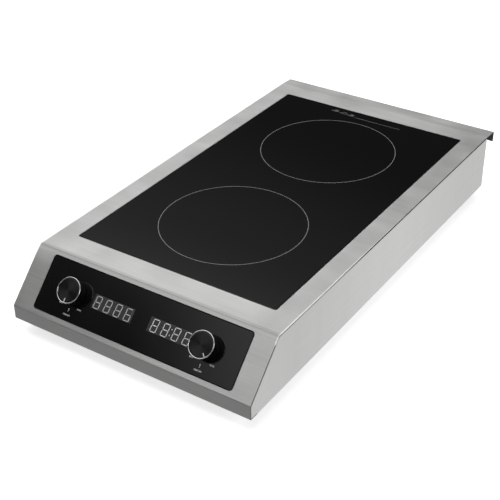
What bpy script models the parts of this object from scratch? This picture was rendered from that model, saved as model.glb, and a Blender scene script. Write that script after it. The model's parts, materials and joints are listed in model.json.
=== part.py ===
"""Two-zone countertop induction cooktop, built as separate parts. Metres, +Z up.

X runs to the right, Y to the back. The origin is the middle of the footprint, on the surface that
the feet stand on. Everything on the front slope is placed under the empty slope_frame, whose Y runs
up the slope and whose Z points straight out of it.
"""

import math

import bpy
import bmesh
from mathutils import Matrix, Vector

# Housing
WIDTH = 0.360
DECK_LENGTH = 0.606          # from the front crease to the rear edge
SLOPE_RUN = 0.061
SLOPE_RISE = 0.0614
LIP_HEIGHT = 0.0206          # upright front lip under the slope
FOOT_HEIGHT = 0.018
BEND_LENGTH = 0.006          # short first hit of the front crease
BEND_ANGLE = math.radians(36)
REAR_OVERHANG = 0.026
REAR_DROP = 0.0012
REAR_LIP = 0.016
LIP_RETURN = 0.014           # flange that the front lip turns in under the tray
COVER_SHEET = 0.0012
TRAY_SHEET = 0.0010
INSIDE_BEND = 0.0008
SEAM_GAP = 0.0012            # shadow gap between the cover and the tray's sides
LIP_GAP = 0.0006
TRAY_FLANGE = 0.012          # how far the rear wall's flange turns in
SIDE_FLANGE = 0.003
TRAY_NOSE = 0.003            # how far the slope's flange reaches back from the front edge
REST_GAP = 0.0003            # between two pieces that touch
FINE_SIDES = 32              # sides of a large or visible round piece
PLAIN_SIDES = 16             # sides of a small or hidden one

# Ceramic plate
BORDER_SIDE = 0.030
BORDER_FRONT = 0.039
BORDER_REAR = 0.056
GLASS_THICKNESS = 0.004
GLASS_CORNER = 0.0015
GLASS_CHAMFER = 0.0004
SEAL_WIDTH = 0.0007
SEAL_DEPTH = 0.0034
LEDGE_SHEET = 0.0012
LEDGE_SEAT = 0.008           # how far the ledge reaches under the plate
LEDGE_FLANGE = 0.011

# Cooking zones
ZONE_INSET = 0.1327          # from the plate's end to the middle of its zone
COIL_OUTER = 0.090
COIL_INNER = 0.026
COIL_TURNS = 6
COIL_HEIGHT = 0.006
WIRE_WIDTH = 0.0068
MICA_RADIUS = 0.100
MICA_THICKNESS = 0.0005
CARRIER_RADIUS = 0.095
CARRIER_THICKNESS = 0.0030
CARRIER_RIM = 0.002          # how far the rim round the coil stays under the coil's top
CARRIER_POST = 0.004
POST_CIRCLE = 0.070
FERRITE_THICKNESS = 0.0045
FERRITE_REACH = 0.080
FERRITE_BAR = 0.015
SENSOR_RADIUS = 0.005
SENSOR_COLLAR = 0.011
COLLAR_HEIGHT = 0.0015
SHELF_Z = 0.072              # underside of the shelf that carries the coils
SHELF_SHEET = 0.0012
SHELF_FOOT = 0.010
SHELF_OVERHANG = 0.104       # shelf past the middle of each zone
SHELF_HOLE = 0.022

# Control panel, measured down the slope from the crease's second hit
PANEL_SIDE = 0.029
PANEL_TOP = 0.0009
PANEL_HEIGHT = 0.0725
PANEL_THICKNESS = 0.003
PANEL_CORNER = 0.004
PANEL_GAP = 0.0004
KNOB_INSET = 0.051           # from the panel's end to the knob's axis
WINDOW_WIDTH = 0.0674
WINDOW_HEIGHT = 0.0188
WINDOW_THICKNESS = 0.002
LEFT_WINDOW = 0.0573         # from the left knob's axis to the middle of its window
RIGHT_WINDOW = 0.0510
INSERT_GAP = 0.00015
BRACKET_SHEET = 0.0012
BRACKET_LENGTH = 0.064       # up the slope
BRACKET_FLANGE = 0.012
BRACKET_BEND = 0.0002
BOARD_THICKNESS = 0.0016
BOARD_DEPTH = 0.0124         # from the panel's face to the control board
BOARD_LENGTH = 0.058
BOARD_INSET = 0.008          # from the panel's end to the control board's

# Knobs
KNOB_RADIUS = 0.0171
KNOB_HEIGHT = 0.0148
KNOB_LIFT = 0.0008
RING_WIDTH = 0.0014
RING_HEIGHT = 0.0024
EDGE = 0.0004                # rounding of the knob's edges
SKIRT_HEIGHT = 0.0022        # hollow under the knob, over the bushing
SKIRT_WALL = 0.003
KNOB_DRAFT = 0.0009
CAP_THICKNESS = 0.0014
POINTER_LENGTH = 0.0046
POINTER_WIDTH = 0.0009
LEFT_POINTER = 0.0           # pointer's turn from straight down, positive to the right
RIGHT_POINTER = math.radians(40)
SHAFT_RADIUS = 0.003
SHAFT_FLAT = 0.0018          # from the axis to the flat on the shaft
SHAFT_FIT = 0.0001
SHAFT_COVER = 0.003          # knob left over the end of the shaft
FLAT_START = 0.003           # from the knob's underside to the flat
POT_RADIUS = 0.008
POT_HEIGHT = 0.007
BUSHING_RADIUS = 0.0047
NUT_ACROSS = 0.012
NUT_HEIGHT = 0.0022
NUT_CLEARANCE = 0.0012

# Power electronics and cooling
BOSS_RADIUS = 0.004
BOSS_INSET = 0.008           # from a power board's edge to the bosses under it
BOARD_Z = 0.027
BOARD_SIDE_GAP = 0.009       # from the shelf's leg to a power board
BOARD_CENTRE_GAP = 0.015
POWER_LENGTH = 0.235
POWER_FRONT_GAP = 0.014      # from a fan to its power board
FAN_SIZE = 0.092
FAN_DEPTH = 0.025
FAN_CORNER = 0.004
FAN_BORE = 0.0435
FAN_RIM = 0.001              # from the frame's faces to what lies inside them
FAN_FRONT_GAP = 0.059        # from the crease to the fan's frame
HUB_RADIUS = 0.017
HUB_EDGE = 0.001
BLADE_COUNT = 7
BLADE_TIP = 0.0415
BLADE_ROOT = 0.015
BLADE_PITCHES = (0.95, 0.72, 0.52)   # radians, from the root to the tip
BLADE_HALF_CHORD = 0.0085
BLADE_HALF_THICKNESS = 0.0007
STRUT_HALF_WIDTH = 0.003
STRUT_HEIGHT = 0.003
STRUT_LIFT = 0.0004
AXLE_RADIUS = 0.0015
AXLE_FIT = 0.00015
AXLE_INSET = 0.004           # from the fan's upper face to the end of the axle
SINK_WIDTH = 0.076
SINK_LENGTH = 0.090
SINK_HEIGHT = 0.032
SINK_BASE = 0.005
SINK_FINS = 8
SINK_INSET = 0.004           # from the power board's front to the heatsink
TRANSISTOR_HALF_WIDTH = 0.008
TRANSISTOR_DEPTH = 0.005
TRANSISTOR_LEGS = 0.003      # how high its case stands
TRANSISTOR_TOP = 0.024
FILTER_INSET = 0.075         # from the power board's rear to the capacitor and choke
CAPACITOR_NEAR = 0.010       # the capacitor's two sides, left of the board's middle
CAPACITOR_FAR = 0.040
CAPACITOR_DEPTH = 0.032
CAPACITOR_HEIGHT = 0.028
CHOKE_TUBE = 0.007
CHOKE_RADIUS = 0.0135
CHOKE_OFFSET = 0.018
VENT_WIDTH = 0.004
VENT_PITCH = 0.009
REAR_VENTS = 15
REAR_VENT_HEIGHT = 0.030
GLAND_INSET = 0.050          # from the side to a cable gland
GLAND_Z = 0.042
GLAND_BORE = 0.0046
GLAND_THREAD = 0.0077
GLAND_FLANGE = 0.0115
GLAND_CAP = 0.0100
GLAND_NUT = 0.0110
NUT_DEPTH = 0.004
FLANGE_DEPTH = 0.005
CAP_DEPTH = 0.013            # from the wall to the end of the gland's straight cap
GLAND_LENGTH = 0.018
BLOCK_HALF_WIDTH = 0.030
BLOCK_DEPTH = 0.022
BLOCK_HEIGHT = 0.020
BLOCK_INSET = 0.028          # from the rear wall to the terminal block
WAY_RADIUS = 0.003
WAY_PITCH = 0.020
FOOT_INSET = 0.040
FOOT_FRONT = 0.060
FOOT_REAR = 0.045
FOOT_RADIUS = 0.0155
FOOT_EDGE = 0.0015
FOOT_SINK_RADIUS = 0.005
FOOT_SINK_DEPTH = 0.004
STUD_RADIUS = 0.0037
STUD_BARB = 0.0015
STUD_HEIGHT = 0.004
SCREW_RADIUS = 0.0017
SCREW_HEAD_RADIUS = 0.0036
SCREW_HEAD_HEIGHT = 0.002
SCREW_LENGTH = 0.009
SCREW_INSET = 0.060

# Places that follow from the sizes above
HALF_WIDTH = WIDTH / 2
FRONT_Y = -(DECK_LENGTH + SLOPE_RUN) / 2
CREASE_Y = FRONT_Y + SLOPE_RUN
REAR_Y = FRONT_Y + SLOPE_RUN + DECK_LENGTH
REAR_WALL_Y = REAR_Y - REAR_OVERHANG
BODY_BOTTOM = FOOT_HEIGHT
DECK_Z = BODY_BOTTOM + LIP_HEIGHT + SLOPE_RISE
FLOOR_Z = BODY_BOTTOM + TRAY_SHEET
BEND_Y = CREASE_Y - BEND_LENGTH * math.cos(BEND_ANGLE)
BEND_Z = DECK_Z - BEND_LENGTH * math.sin(BEND_ANGLE)
LIP_TOP = BODY_BOTTOM + LIP_HEIGHT
SLOPE_ANGLE = math.atan2(BEND_Z - LIP_TOP, BEND_Y - FRONT_Y)

GLASS_HALF = HALF_WIDTH - BORDER_SIDE
GLASS_FRONT = CREASE_Y + BORDER_FRONT
GLASS_REAR = REAR_Y - BORDER_REAR
GLASS_BOTTOM = DECK_Z - GLASS_THICKNESS
SEAL_GAP = 2 * REST_GAP + SEAL_WIDTH
MICA_TOP = GLASS_BOTTOM - 3 * REST_GAP
COIL_TOP = MICA_TOP - MICA_THICKNESS - 2 * REST_GAP
COIL_BOTTOM = COIL_TOP - COIL_HEIGHT
CARRIER_TOP = COIL_BOTTOM - REST_GAP
CARRIER_BOTTOM = CARRIER_TOP - CARRIER_THICKNESS
FERRITE_TOP = CARRIER_BOTTOM - REST_GAP
SHELF_TOP = SHELF_Z + SHELF_SHEET
SHELF_HALF = GLASS_HALF + 0.002
ZONES = {"front": GLASS_FRONT + ZONE_INSET, "rear": GLASS_REAR - ZONE_INSET}

PANEL_HALF = HALF_WIDTH - PANEL_SIDE
PANEL_MIDDLE = -(PANEL_TOP + PANEL_HEIGHT / 2)
KNOB_X = PANEL_HALF - KNOB_INSET
WINDOWS = {"left": -KNOB_X + LEFT_WINDOW, "right": KNOB_X - RIGHT_WINDOW}
POINTERS = {"left": LEFT_POINTER, "right": RIGHT_POINTER}
SIDES = {"left": -1, "right": 1}
BRACKET_TOP = -PANEL_THICKNESS - REST_GAP
BUSHING_HOLE = BUSHING_RADIUS + REST_GAP
KNOB_TOP = KNOB_LIFT + KNOB_HEIGHT
BODY_TOP = KNOB_TOP - RING_HEIGHT - INSERT_GAP
RING_INNER = KNOB_RADIUS - RING_WIDTH
POT_TOP = BRACKET_TOP - BRACKET_SHEET - REST_GAP
POT_BOTTOM = POT_TOP - POT_HEIGHT

BOARD_OUTER = SHELF_HALF - BOARD_SIDE_GAP
POWER_X = (BOARD_OUTER + BOARD_CENTRE_GAP) / 2
POWER_WIDTH = BOARD_OUTER - BOARD_CENTRE_GAP
FAN_Y = CREASE_Y + FAN_FRONT_GAP + FAN_SIZE / 2
POWER_FRONT = FAN_Y + FAN_SIZE / 2 + POWER_FRONT_GAP
BOARD_TOP = BOARD_Z + BOARD_THICKNESS
GLAND_X = HALF_WIDTH - GLAND_INSET
FEET = {
    "front_left": (-HALF_WIDTH + FOOT_INSET, FRONT_Y + FOOT_FRONT),
    "front_right": (HALF_WIDTH - FOOT_INSET, FRONT_Y + FOOT_FRONT),
    "rear_left": (-HALF_WIDTH + FOOT_INSET, REAR_WALL_Y - FOOT_REAR),
    "rear_right": (HALF_WIDTH - FOOT_INSET, REAR_WALL_Y - FOOT_REAR),
}
SCREW_X = HALF_WIDTH - SCREW_INSET
SCREW_Y = FRONT_Y + LIP_RETURN * 0.55
STEP_Z = BODY_BOTTOM + COVER_SHEET + REST_GAP

# Finishes: colour, roughness, metallic
FINISHES = {
    "brushed_steel": ((0.62, 0.62, 0.61), 0.32, 1.0),
    "zinc_steel": ((0.48, 0.49, 0.50), 0.45, 1.0),
    "black_glass": ((0.012, 0.012, 0.013), 0.06, 0.0),
    "panel_black": ((0.012, 0.012, 0.013), 0.08, 0.0),
    "smoked_window": ((0.035, 0.035, 0.038), 0.08, 0.0),
    "silicone": ((0.02, 0.02, 0.02), 0.6, 0.0),
    "black_plastic": ((0.015, 0.015, 0.015), 0.4, 0.0),
    "chrome": ((0.85, 0.85, 0.86), 0.08, 1.0),
    "spun_black": ((0.03, 0.03, 0.032), 0.3, 0.8),
    "white_print": ((0.85, 0.85, 0.85), 0.5, 0.0),
    "copper": ((0.72, 0.36, 0.18), 0.4, 1.0),
    "heat_plastic": ((0.10, 0.10, 0.11), 0.6, 0.0),
    "ferrite": ((0.05, 0.05, 0.055), 0.55, 0.0),
    "mica": ((0.62, 0.56, 0.42), 0.5, 0.0),
    "circuit_green": ((0.03, 0.16, 0.07), 0.45, 0.0),
    "aluminium": ((0.74, 0.75, 0.76), 0.35, 1.0),
    "rubber": ((0.02, 0.02, 0.02), 0.8, 0.0),
    "capacitor_film": ((0.70, 0.50, 0.10), 0.5, 0.0),
}


# ---------------------------------------------------------------- shapes: (points, faces)

def prism(outline, low, high, axis="Z"):
    """Straight prism. The closed outline lies in the two axes that are left, in X, Y, Z order."""
    order = {"X": (2, 0, 1), "Y": (0, 2, 1), "Z": (0, 1, 2)}[axis]
    count = len(outline)
    points = []
    for level in (low, high):
        for across, along in outline:
            values = (across, along, level)
            points.append(tuple(values[i] for i in order))
    faces = [list(range(count)), list(range(count, 2 * count))]
    for i in range(count):
        after = (i + 1) % count
        faces.append([i, after, after + count, i + count])
    return points, faces


def box(low, high):
    outline = [(low[0], low[1]), (high[0], low[1]), (high[0], high[1]), (low[0], high[1])]
    return prism(outline, low[2], high[2])


def lathe(profile, segments):
    """Solid turned about Z. The profile of (radius, height) is closed, or starts and ends on the axis."""
    points, rings = [], []
    for radius, height in profile:
        count = 1 if radius == 0 else segments
        rings.append([len(points) + k for k in range(count)])
        for k in range(count):
            angle = math.tau * k / segments
            points.append((radius * math.cos(angle), radius * math.sin(angle), height))
    following = rings[1:] if profile[0][0] == 0 else rings[1:] + rings[:1]
    faces = []
    for ring, after in zip(rings, following):
        for k in range(segments):
            corners = [ring[k % len(ring)], ring[(k + 1) % segments % len(ring)]]
            corners += [after[(k + 1) % segments % len(after)], after[k % len(after)]]
            faces.append(list(dict.fromkeys(corners)))
    return points, faces


def loft(loops, ring=False):
    """Skin over loops that have equally many points, closed by caps or, as a ring, onto itself."""
    count = len(loops[0])
    points = [tuple(point) for loop in loops for point in loop]
    faces = []
    for level in range(len(loops) if ring else len(loops) - 1):
        low = level * count
        high = (level + 1) % len(loops) * count
        for i in range(count):
            after = (i + 1) % count
            faces.append([low + i, low + after, high + after, high + i])
    if not ring:
        faces.append(list(range(count)))
        faces.append(list(range((len(loops) - 1) * count, len(loops) * count)))
    return points, faces


def together(shapes):
    """Several bodies that don't meet, as one shape for a cutter or a union."""
    points, faces = [], []
    for more_points, more_faces in shapes:
        start = len(points)
        points += more_points
        faces += [[start + i for i in face] for face in more_faces]
    return points, faces


def circle(radius, segments, centre=(0, 0)):
    angles = [math.tau * k / segments for k in range(segments)]
    return [(centre[0] + radius * math.cos(a), centre[1] + radius * math.sin(a)) for a in angles]


def cylinder(radius, low, high, segments, centre=(0, 0), axis="Z"):
    return prism(circle(radius, segments, centre), low, high, axis)


def rounded_rectangle(low, high, radius, steps=3):
    """Corner arcs of this radius, counter-clockwise from the right-hand far corner."""
    corners = [
        (high[0] - radius, high[1] - radius, 0),
        (low[0] + radius, high[1] - radius, 1),
        (low[0] + radius, low[1] + radius, 2),
        (high[0] - radius, low[1] + radius, 3),
    ]
    points = []
    for x, y, quarter in corners:
        for k in range(steps + 1):
            angle = math.pi / 2 * (quarter + k / steps)
            points.append((x + radius * math.cos(angle), y + radius * math.sin(angle)))
    return points


def left_of(direction):
    return Vector((-direction[1], direction[0]))


def folded(line, thickness, inside_radius=INSIDE_BEND, steps=3):
    """Closed outline of a bent sheet: line is its outer face, and the sheet lies to the left of it."""
    line = [Vector(point) for point in line]
    ways = [(b - a).normalized() for a, b in zip(line, line[1:])]
    outer = [line[0]]
    inner = [line[0] + left_of(ways[0]) * thickness]
    for corner, way, next_way in zip(line[1:-1], ways, ways[1:]):
        turn = math.atan2(way.cross(next_way), way.dot(next_way))
        radius = inside_radius + thickness if turn > 0 else -inside_radius
        normal = left_of(way)
        middle = (normal + left_of(next_way)).normalized()
        centre = corner + middle * radius / math.cos(turn / 2)
        for k in range(steps + 1):
            spun = Matrix.Rotation(turn * k / steps, 2) @ normal
            outer.append(centre - spun * radius)
            inner.append(centre - spun * (radius - thickness))
    outer.append(line[-1])
    inner.append(line[-1] + left_of(ways[-1]) * thickness)
    return [tuple(point) for point in outer + inner[::-1]]


def inset(outline, distance):
    """A counter-clockwise outline with every side moved inwards by distance."""
    count = len(outline)
    result = []
    for i in range(count):
        before, corner, after = (Vector(outline[(i + k) % count]) for k in (-1, 0, 1))
        first = left_of((corner - before).normalized())
        second = left_of((after - corner).normalized())
        middle = (first + second).normalized()
        result.append(tuple(corner + middle * distance / middle.dot(first)))
    return result


# ---------------------------------------------------------------- objects

def clear_scene():
    for obj in list(bpy.data.objects):
        bpy.data.objects.remove(obj, do_unlink=True)


def finish_material(name, finish):
    colour, roughness, metallic = FINISHES[finish]
    material = bpy.data.materials.new(name)
    material.use_nodes = True
    shader = material.node_tree.nodes["Principled BSDF"]
    shader.inputs["Base Color"].default_value = (*colour, 1)
    shader.inputs["Roughness"].default_value = roughness
    shader.inputs["Metallic"].default_value = metallic
    material.diffuse_color = (*colour, 1)
    return material


def add_object(name, shape, parent=None, location=(0, 0, 0), rotation=(0, 0, 0)):
    points, faces = shape
    body = bmesh.new()
    corners = [body.verts.new(point) for point in points]
    for face in faces:
        body.faces.new([corners[i] for i in face])
    bmesh.ops.recalc_face_normals(body, faces=body.faces)
    mesh = bpy.data.meshes.new(name)
    body.to_mesh(mesh)
    body.free()
    mesh.shade_smooth()
    mesh.set_sharp_from_angle(angle=math.radians(30))
    obj = bpy.data.objects.new(name, mesh)
    bpy.context.scene.collection.objects.link(obj)
    obj.parent = parent
    obj.location = location
    obj.rotation_euler = rotation
    return obj


def add_part(name, shape, finish, parent=None, location=(0, 0, 0), rotation=(0, 0, 0)):
    obj = add_object(name, shape, parent, location, rotation)
    obj.data.materials.append(finish_material(name, finish))
    return obj


def combine(target, operation, label, shape):
    """Cuts a shape from the target, or joins it on. The shape is in the target's own axes."""
    other = add_object(f"{target.name}_{label}", shape, target)
    other.hide_render = True
    other.display_type = "WIRE"
    modifier = target.modifiers.new(label, "BOOLEAN")
    modifier.operation = operation
    modifier.solver = "EXACT"
    modifier.object = other
    return other


def add_empty(name, parent=None, location=(0, 0, 0), rotation=(0, 0, 0)):
    empty = bpy.data.objects.new(name, None)
    bpy.context.scene.collection.objects.link(empty)
    empty.empty_display_size = 0.02
    empty.parent = parent
    empty.location = location
    empty.rotation_euler = rotation
    return empty


# ---------------------------------------------------------------- housing

def cover_line():
    """Outer face of the top cover, from the rear lip over the deck and slope to the front flange."""
    return [
        (REAR_Y, DECK_Z - REAR_DROP - REAR_LIP),
        (REAR_Y, DECK_Z - REAR_DROP),
        (REAR_WALL_Y, DECK_Z),
        (CREASE_Y, DECK_Z),
        (BEND_Y, BEND_Z),
        (FRONT_Y, LIP_TOP),
        (FRONT_Y, BODY_BOTTOM),
        (FRONT_Y + LIP_RETURN, BODY_BOTTOM),
    ]


def panel_outline(margin):
    low = (-PANEL_HALF - margin, PANEL_MIDDLE - PANEL_HEIGHT / 2 - margin)
    high = (PANEL_HALF + margin, PANEL_MIDDLE + PANEL_HEIGHT / 2 + margin)
    return rounded_rectangle(low, high, PANEL_CORNER + margin)


def plate_outline(margin):
    low = (-GLASS_HALF - margin, GLASS_FRONT - margin)
    high = (GLASS_HALF + margin, GLASS_REAR + margin)
    return rounded_rectangle(low, high, GLASS_CORNER + margin)


def make_top_cover(slope_frame):
    shape = prism(folded(cover_line(), COVER_SHEET), -HALF_WIDTH, HALF_WIDTH, "X")
    cover = add_part("top_cover", shape, "brushed_steel")
    reach = 3 * COVER_SHEET
    plate_cut = prism(plate_outline(SEAL_GAP), DECK_Z - reach, DECK_Z + reach)
    combine(cover, "DIFFERENCE", "plate_cut", plate_cut)
    panel_cut = prism(panel_outline(PANEL_GAP), -reach, reach)
    cutter = combine(cover, "DIFFERENCE", "panel_cut", panel_cut)
    cutter.location = slope_frame.location
    cutter.rotation_euler = slope_frame.rotation_euler
    holes = together(screw_holes(BODY_BOTTOM - reach, BODY_BOTTOM + reach))
    combine(cover, "DIFFERENCE", "screw_holes", holes)


def screw_holes(low, high):
    radius = SCREW_RADIUS + REST_GAP
    return [cylinder(radius, low, high, 12, (side * SCREW_X, SCREW_Y)) for side in SIDES.values()]


def tray_top_line():
    """The tray's upper edge, from the rear wall to the front: the cover's face moved in by the seam."""
    deep = COVER_SHEET + SEAM_GAP
    deck = Vector((0, 1))
    first = Vector((-math.sin(BEND_ANGLE), math.cos(BEND_ANGLE)))
    slope = Vector((-math.sin(SLOPE_ANGLE), math.cos(SLOPE_ANGLE)))
    crease = mitre(Vector((CREASE_Y, DECK_Z)), deck, first, deep)
    bend = mitre(Vector((BEND_Y, BEND_Z)), first, slope, deep)
    front_y = FRONT_Y + COVER_SHEET + LIP_GAP
    start = Vector((FRONT_Y, LIP_TOP)) - slope * deep
    front_z = start.y + (front_y - start.x) * math.tan(SLOPE_ANGLE)
    return [(REAR_WALL_Y, DECK_Z - deep), tuple(crease), tuple(bend), (front_y, front_z)]


def mitre(corner, first, second, deep):
    """The corner moved in from two faces, whose normals point out, by the same depth."""
    middle = (first + second).normalized()
    return corner - middle * deep / middle.dot(first)


def tray_outline():
    rear, crease, bend, front = tray_top_line()
    step_y = FRONT_Y + LIP_RETURN + REST_GAP
    return [
        (step_y, BODY_BOTTOM),
        (REAR_WALL_Y, BODY_BOTTOM),
        rear, crease, bend, front,
        (front[0], STEP_Z),
        (step_y, STEP_Z),
    ]


def tray_mouth():
    """Outline that opens the tray's top and leaves a flange all round."""
    rear, crease, bend, front = tray_top_line()
    nose = (front[0] + TRAY_NOSE, front[1] + TRAY_NOSE * math.tan(SLOPE_ANGLE))
    line = [(rear[0] - TRAY_FLANGE, rear[1]), crease, bend, nose]
    under = [(y, z - 2.5 * TRAY_SHEET) for y, z in line]
    above = [(y, z + 3 * TRAY_SHEET) for y, z in line[::-1]]
    return under + above


def fan_vents():
    """Slots in the floor under each fan, as long as the fan's round bore allows."""
    slots = []
    edge = FAN_BORE - VENT_WIDTH / 2
    count = int(2 * edge / VENT_PITCH)
    for side in SIDES.values():
        for k in range(count):
            offset = (k - (count - 1) / 2) * VENT_PITCH
            reach = math.sqrt(max(edge ** 2 - (abs(offset) + VENT_WIDTH / 2) ** 2, 0))
            centre = side * POWER_X + offset
            slots.append(box(
                (centre - VENT_WIDTH / 2, FAN_Y - reach, BODY_BOTTOM - TRAY_SHEET),
                (centre + VENT_WIDTH / 2, FAN_Y + reach, FLOOR_Z + TRAY_SHEET),
            ))
    return slots


def rear_vents():
    slots = []
    middle = (BODY_BOTTOM + DECK_Z) / 2
    for k in range(REAR_VENTS):
        centre = (k - (REAR_VENTS - 1) / 2) * VENT_PITCH
        slots.append(box(
            (centre - VENT_WIDTH / 2, REAR_WALL_Y - 3 * TRAY_SHEET, middle - REAR_VENT_HEIGHT / 2),
            (centre + VENT_WIDTH / 2, REAR_WALL_Y + TRAY_SHEET, middle + REAR_VENT_HEIGHT / 2),
        ))
    return slots


def board_corners(side):
    """Where a power board is held, in from its four corners."""
    across = POWER_WIDTH / 2 - BOSS_INSET
    for x in (-across, across):
        for y in (POWER_FRONT + BOSS_INSET, POWER_FRONT + POWER_LENGTH - BOSS_INSET):
            yield side * POWER_X + x, y


def make_base_tray():
    outline = tray_outline()
    tray = add_part("base_tray", prism(outline, -HALF_WIDTH, HALF_WIDTH, "X"), "brushed_steel")
    inner_half = HALF_WIDTH - TRAY_SHEET
    hollow = prism(inset(outline, TRAY_SHEET), -inner_half, inner_half, "X")
    combine(tray, "DIFFERENCE", "hollow", hollow)
    mouth_half = HALF_WIDTH - SIDE_FLANGE
    combine(tray, "DIFFERENCE", "mouth", prism(tray_mouth(), -mouth_half, mouth_half, "X"))
    cuts = fan_vents() + rear_vents() + screw_holes(STEP_Z - TRAY_SHEET, STEP_Z + 2 * TRAY_SHEET)
    floor = (BODY_BOTTOM - TRAY_SHEET, FLOOR_Z + TRAY_SHEET)
    cuts += [cylinder(STUD_RADIUS + REST_GAP, *floor, PLAIN_SIDES, place) for place in FEET.values()]
    wall = (REAR_WALL_Y - 3 * TRAY_SHEET, REAR_WALL_Y + TRAY_SHEET)
    for side in SIDES.values():
        place = (side * GLAND_X, GLAND_Z)
        cuts.append(cylinder(GLAND_THREAD + REST_GAP, *wall, PLAIN_SIDES, place, "Y"))
    combine(tray, "DIFFERENCE", "openings", together(cuts))
    bosses = []
    heights = (FLOOR_Z - TRAY_SHEET / 2, BOARD_Z - REST_GAP)
    for side in SIDES.values():
        bosses += [cylinder(BOSS_RADIUS, *heights, 8, corner) for corner in board_corners(side)]
    combine(tray, "UNION", "bosses", together(bosses))


def make_glass():
    levels = [(0, GLASS_BOTTOM), (0, DECK_Z - GLASS_CHAMFER), (-GLASS_CHAMFER, DECK_Z)]
    add_part("glass_plate", prism_levels(levels), "black_glass")
    top = DECK_Z - REST_GAP
    low = top - SEAL_DEPTH
    inner, outer = REST_GAP, REST_GAP + SEAL_WIDTH
    seal = [(inner, low), (outer, low), (outer, top), (inner, top)]
    add_part("glass_seal", plate_frame(seal), "silicone")
    seat = GLASS_BOTTOM - REST_GAP
    high = DECK_Z - COVER_SHEET - REST_GAP
    riser = SEAL_GAP + REST_GAP
    ledge = [
        (-LEDGE_SEAT, seat - LEDGE_SHEET), (riser + LEDGE_SHEET, seat - LEDGE_SHEET),
        (riser + LEDGE_SHEET, high - LEDGE_SHEET), (riser + LEDGE_FLANGE, high - LEDGE_SHEET),
        (riser + LEDGE_FLANGE, high), (riser, high), (riser, seat), (-LEDGE_SEAT, seat),
    ]
    add_part("glass_ledge", plate_frame(ledge), "zinc_steel")


def prism_levels(levels):
    """The plate's outline at several levels of (margin, height)."""
    return loft([[(x, y, z) for x, y in plate_outline(margin)] for margin, z in levels])


def plate_frame(section):
    """A section of (margin, height) carried round the plate's outline."""
    loops = []
    for margin, z in section:
        low = (-GLASS_HALF - margin, GLASS_FRONT - margin)
        high = (GLASS_HALF + margin, GLASS_REAR + margin)
        radius = max(GLASS_CORNER + margin, GLASS_CORNER / 2)
        loops.append([(x, y, z) for x, y in rounded_rectangle(low, high, radius)])
    return loft(loops, ring=True)


def make_feet():
    """Push-in rubber foot: tapered pad with a sink under it, and a stud through the floor."""
    neck = FLOOR_Z + REST_GAP
    top = BODY_BOTTOM - REST_GAP
    profile = [
        (0, FOOT_SINK_DEPTH), (FOOT_SINK_RADIUS, FOOT_SINK_DEPTH), (FOOT_SINK_RADIUS, 0),
        (FOOT_RADIUS - FOOT_EDGE, 0), (FOOT_RADIUS, FOOT_EDGE), (FOOT_RADIUS - FOOT_EDGE, top),
        (STUD_RADIUS, top), (STUD_RADIUS, neck), (STUD_RADIUS + STUD_BARB, neck),
        (STUD_RADIUS - STUD_BARB / 2, neck + STUD_HEIGHT), (0, neck + STUD_HEIGHT),
    ]
    for name, (x, y) in FEET.items():
        add_part(f"foot_{name}", lathe(profile, PLAIN_SIDES), "rubber", location=(x, y, 0))


def make_screws():
    head = BODY_BOTTOM - REST_GAP
    low = head - SCREW_HEAD_HEIGHT
    tip = head + SCREW_LENGTH
    profile = [
        (0, low), (SCREW_HEAD_RADIUS - EDGE, low), (SCREW_HEAD_RADIUS, low + EDGE),
        (SCREW_HEAD_RADIUS, head), (SCREW_RADIUS, head), (SCREW_RADIUS, tip - EDGE), (0, tip),
    ]
    for name, side in SIDES.items():
        place = (side * SCREW_X, SCREW_Y, 0)
        add_part(f"flange_screw_{name}", lathe(profile, 12), "chrome", location=place)


def make_glands():
    """Cable gland with its locknut, clamping the rear wall. Turned about its own Z, which points back."""
    out, back = REST_GAP, -TRAY_SHEET - REST_GAP
    end, flange_end, tip = back - 2 * NUT_DEPTH, out + FLANGE_DEPTH, out + GLAND_LENGTH
    slant = GLAND_FLANGE - GLAND_CAP
    profile = [
        (GLAND_BORE, end), (GLAND_THREAD, end), (GLAND_THREAD, back - NUT_DEPTH),
        (GLAND_NUT, back - NUT_DEPTH), (GLAND_NUT, back), (GLAND_THREAD, back), (GLAND_THREAD, out),
        (GLAND_FLANGE, out), (GLAND_FLANGE, flange_end), (GLAND_CAP, flange_end + slant),
        (GLAND_CAP, out + CAP_DEPTH), (GLAND_THREAD, tip), (GLAND_BORE, tip),
    ]
    for name, side in SIDES.items():
        place = (side * GLAND_X, REAR_WALL_Y, GLAND_Z)
        add_part(f"cable_gland_{name}", lathe(profile, PLAIN_SIDES), "black_plastic",
                 location=place, rotation=(-math.pi / 2, 0, 0))


# ---------------------------------------------------------------- control panel

def window_outline(side, margin):
    middle = WINDOWS[side]
    across, along = WINDOW_WIDTH / 2 + margin, WINDOW_HEIGHT / 2 + margin
    return [
        (middle - across, PANEL_MIDDLE - along), (middle + across, PANEL_MIDDLE - along),
        (middle + across, PANEL_MIDDLE + along), (middle - across, PANEL_MIDDLE + along),
    ]


def make_panel(slope_frame):
    sheet = prism(panel_outline(0), -PANEL_THICKNESS, 0)
    panel = add_part("control_panel", sheet, "panel_black", slope_frame)
    nut_hole = NUT_ACROSS / math.sqrt(3) + NUT_CLEARANCE
    reach = 2 * PANEL_THICKNESS
    cuts = [prism(window_outline(side, 0), -reach, reach) for side in SIDES]
    for side in SIDES.values():
        cuts.append(cylinder(nut_hole, -reach, reach, PLAIN_SIDES, (side * KNOB_X, PANEL_MIDDLE)))
    combine(panel, "DIFFERENCE", "openings", together(cuts))
    for side in SIDES:
        window = prism(window_outline(side, -INSERT_GAP), -WINDOW_THICKNESS, 0)
        add_part(f"display_window_{side}", window, "smoked_window", slope_frame)


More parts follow.
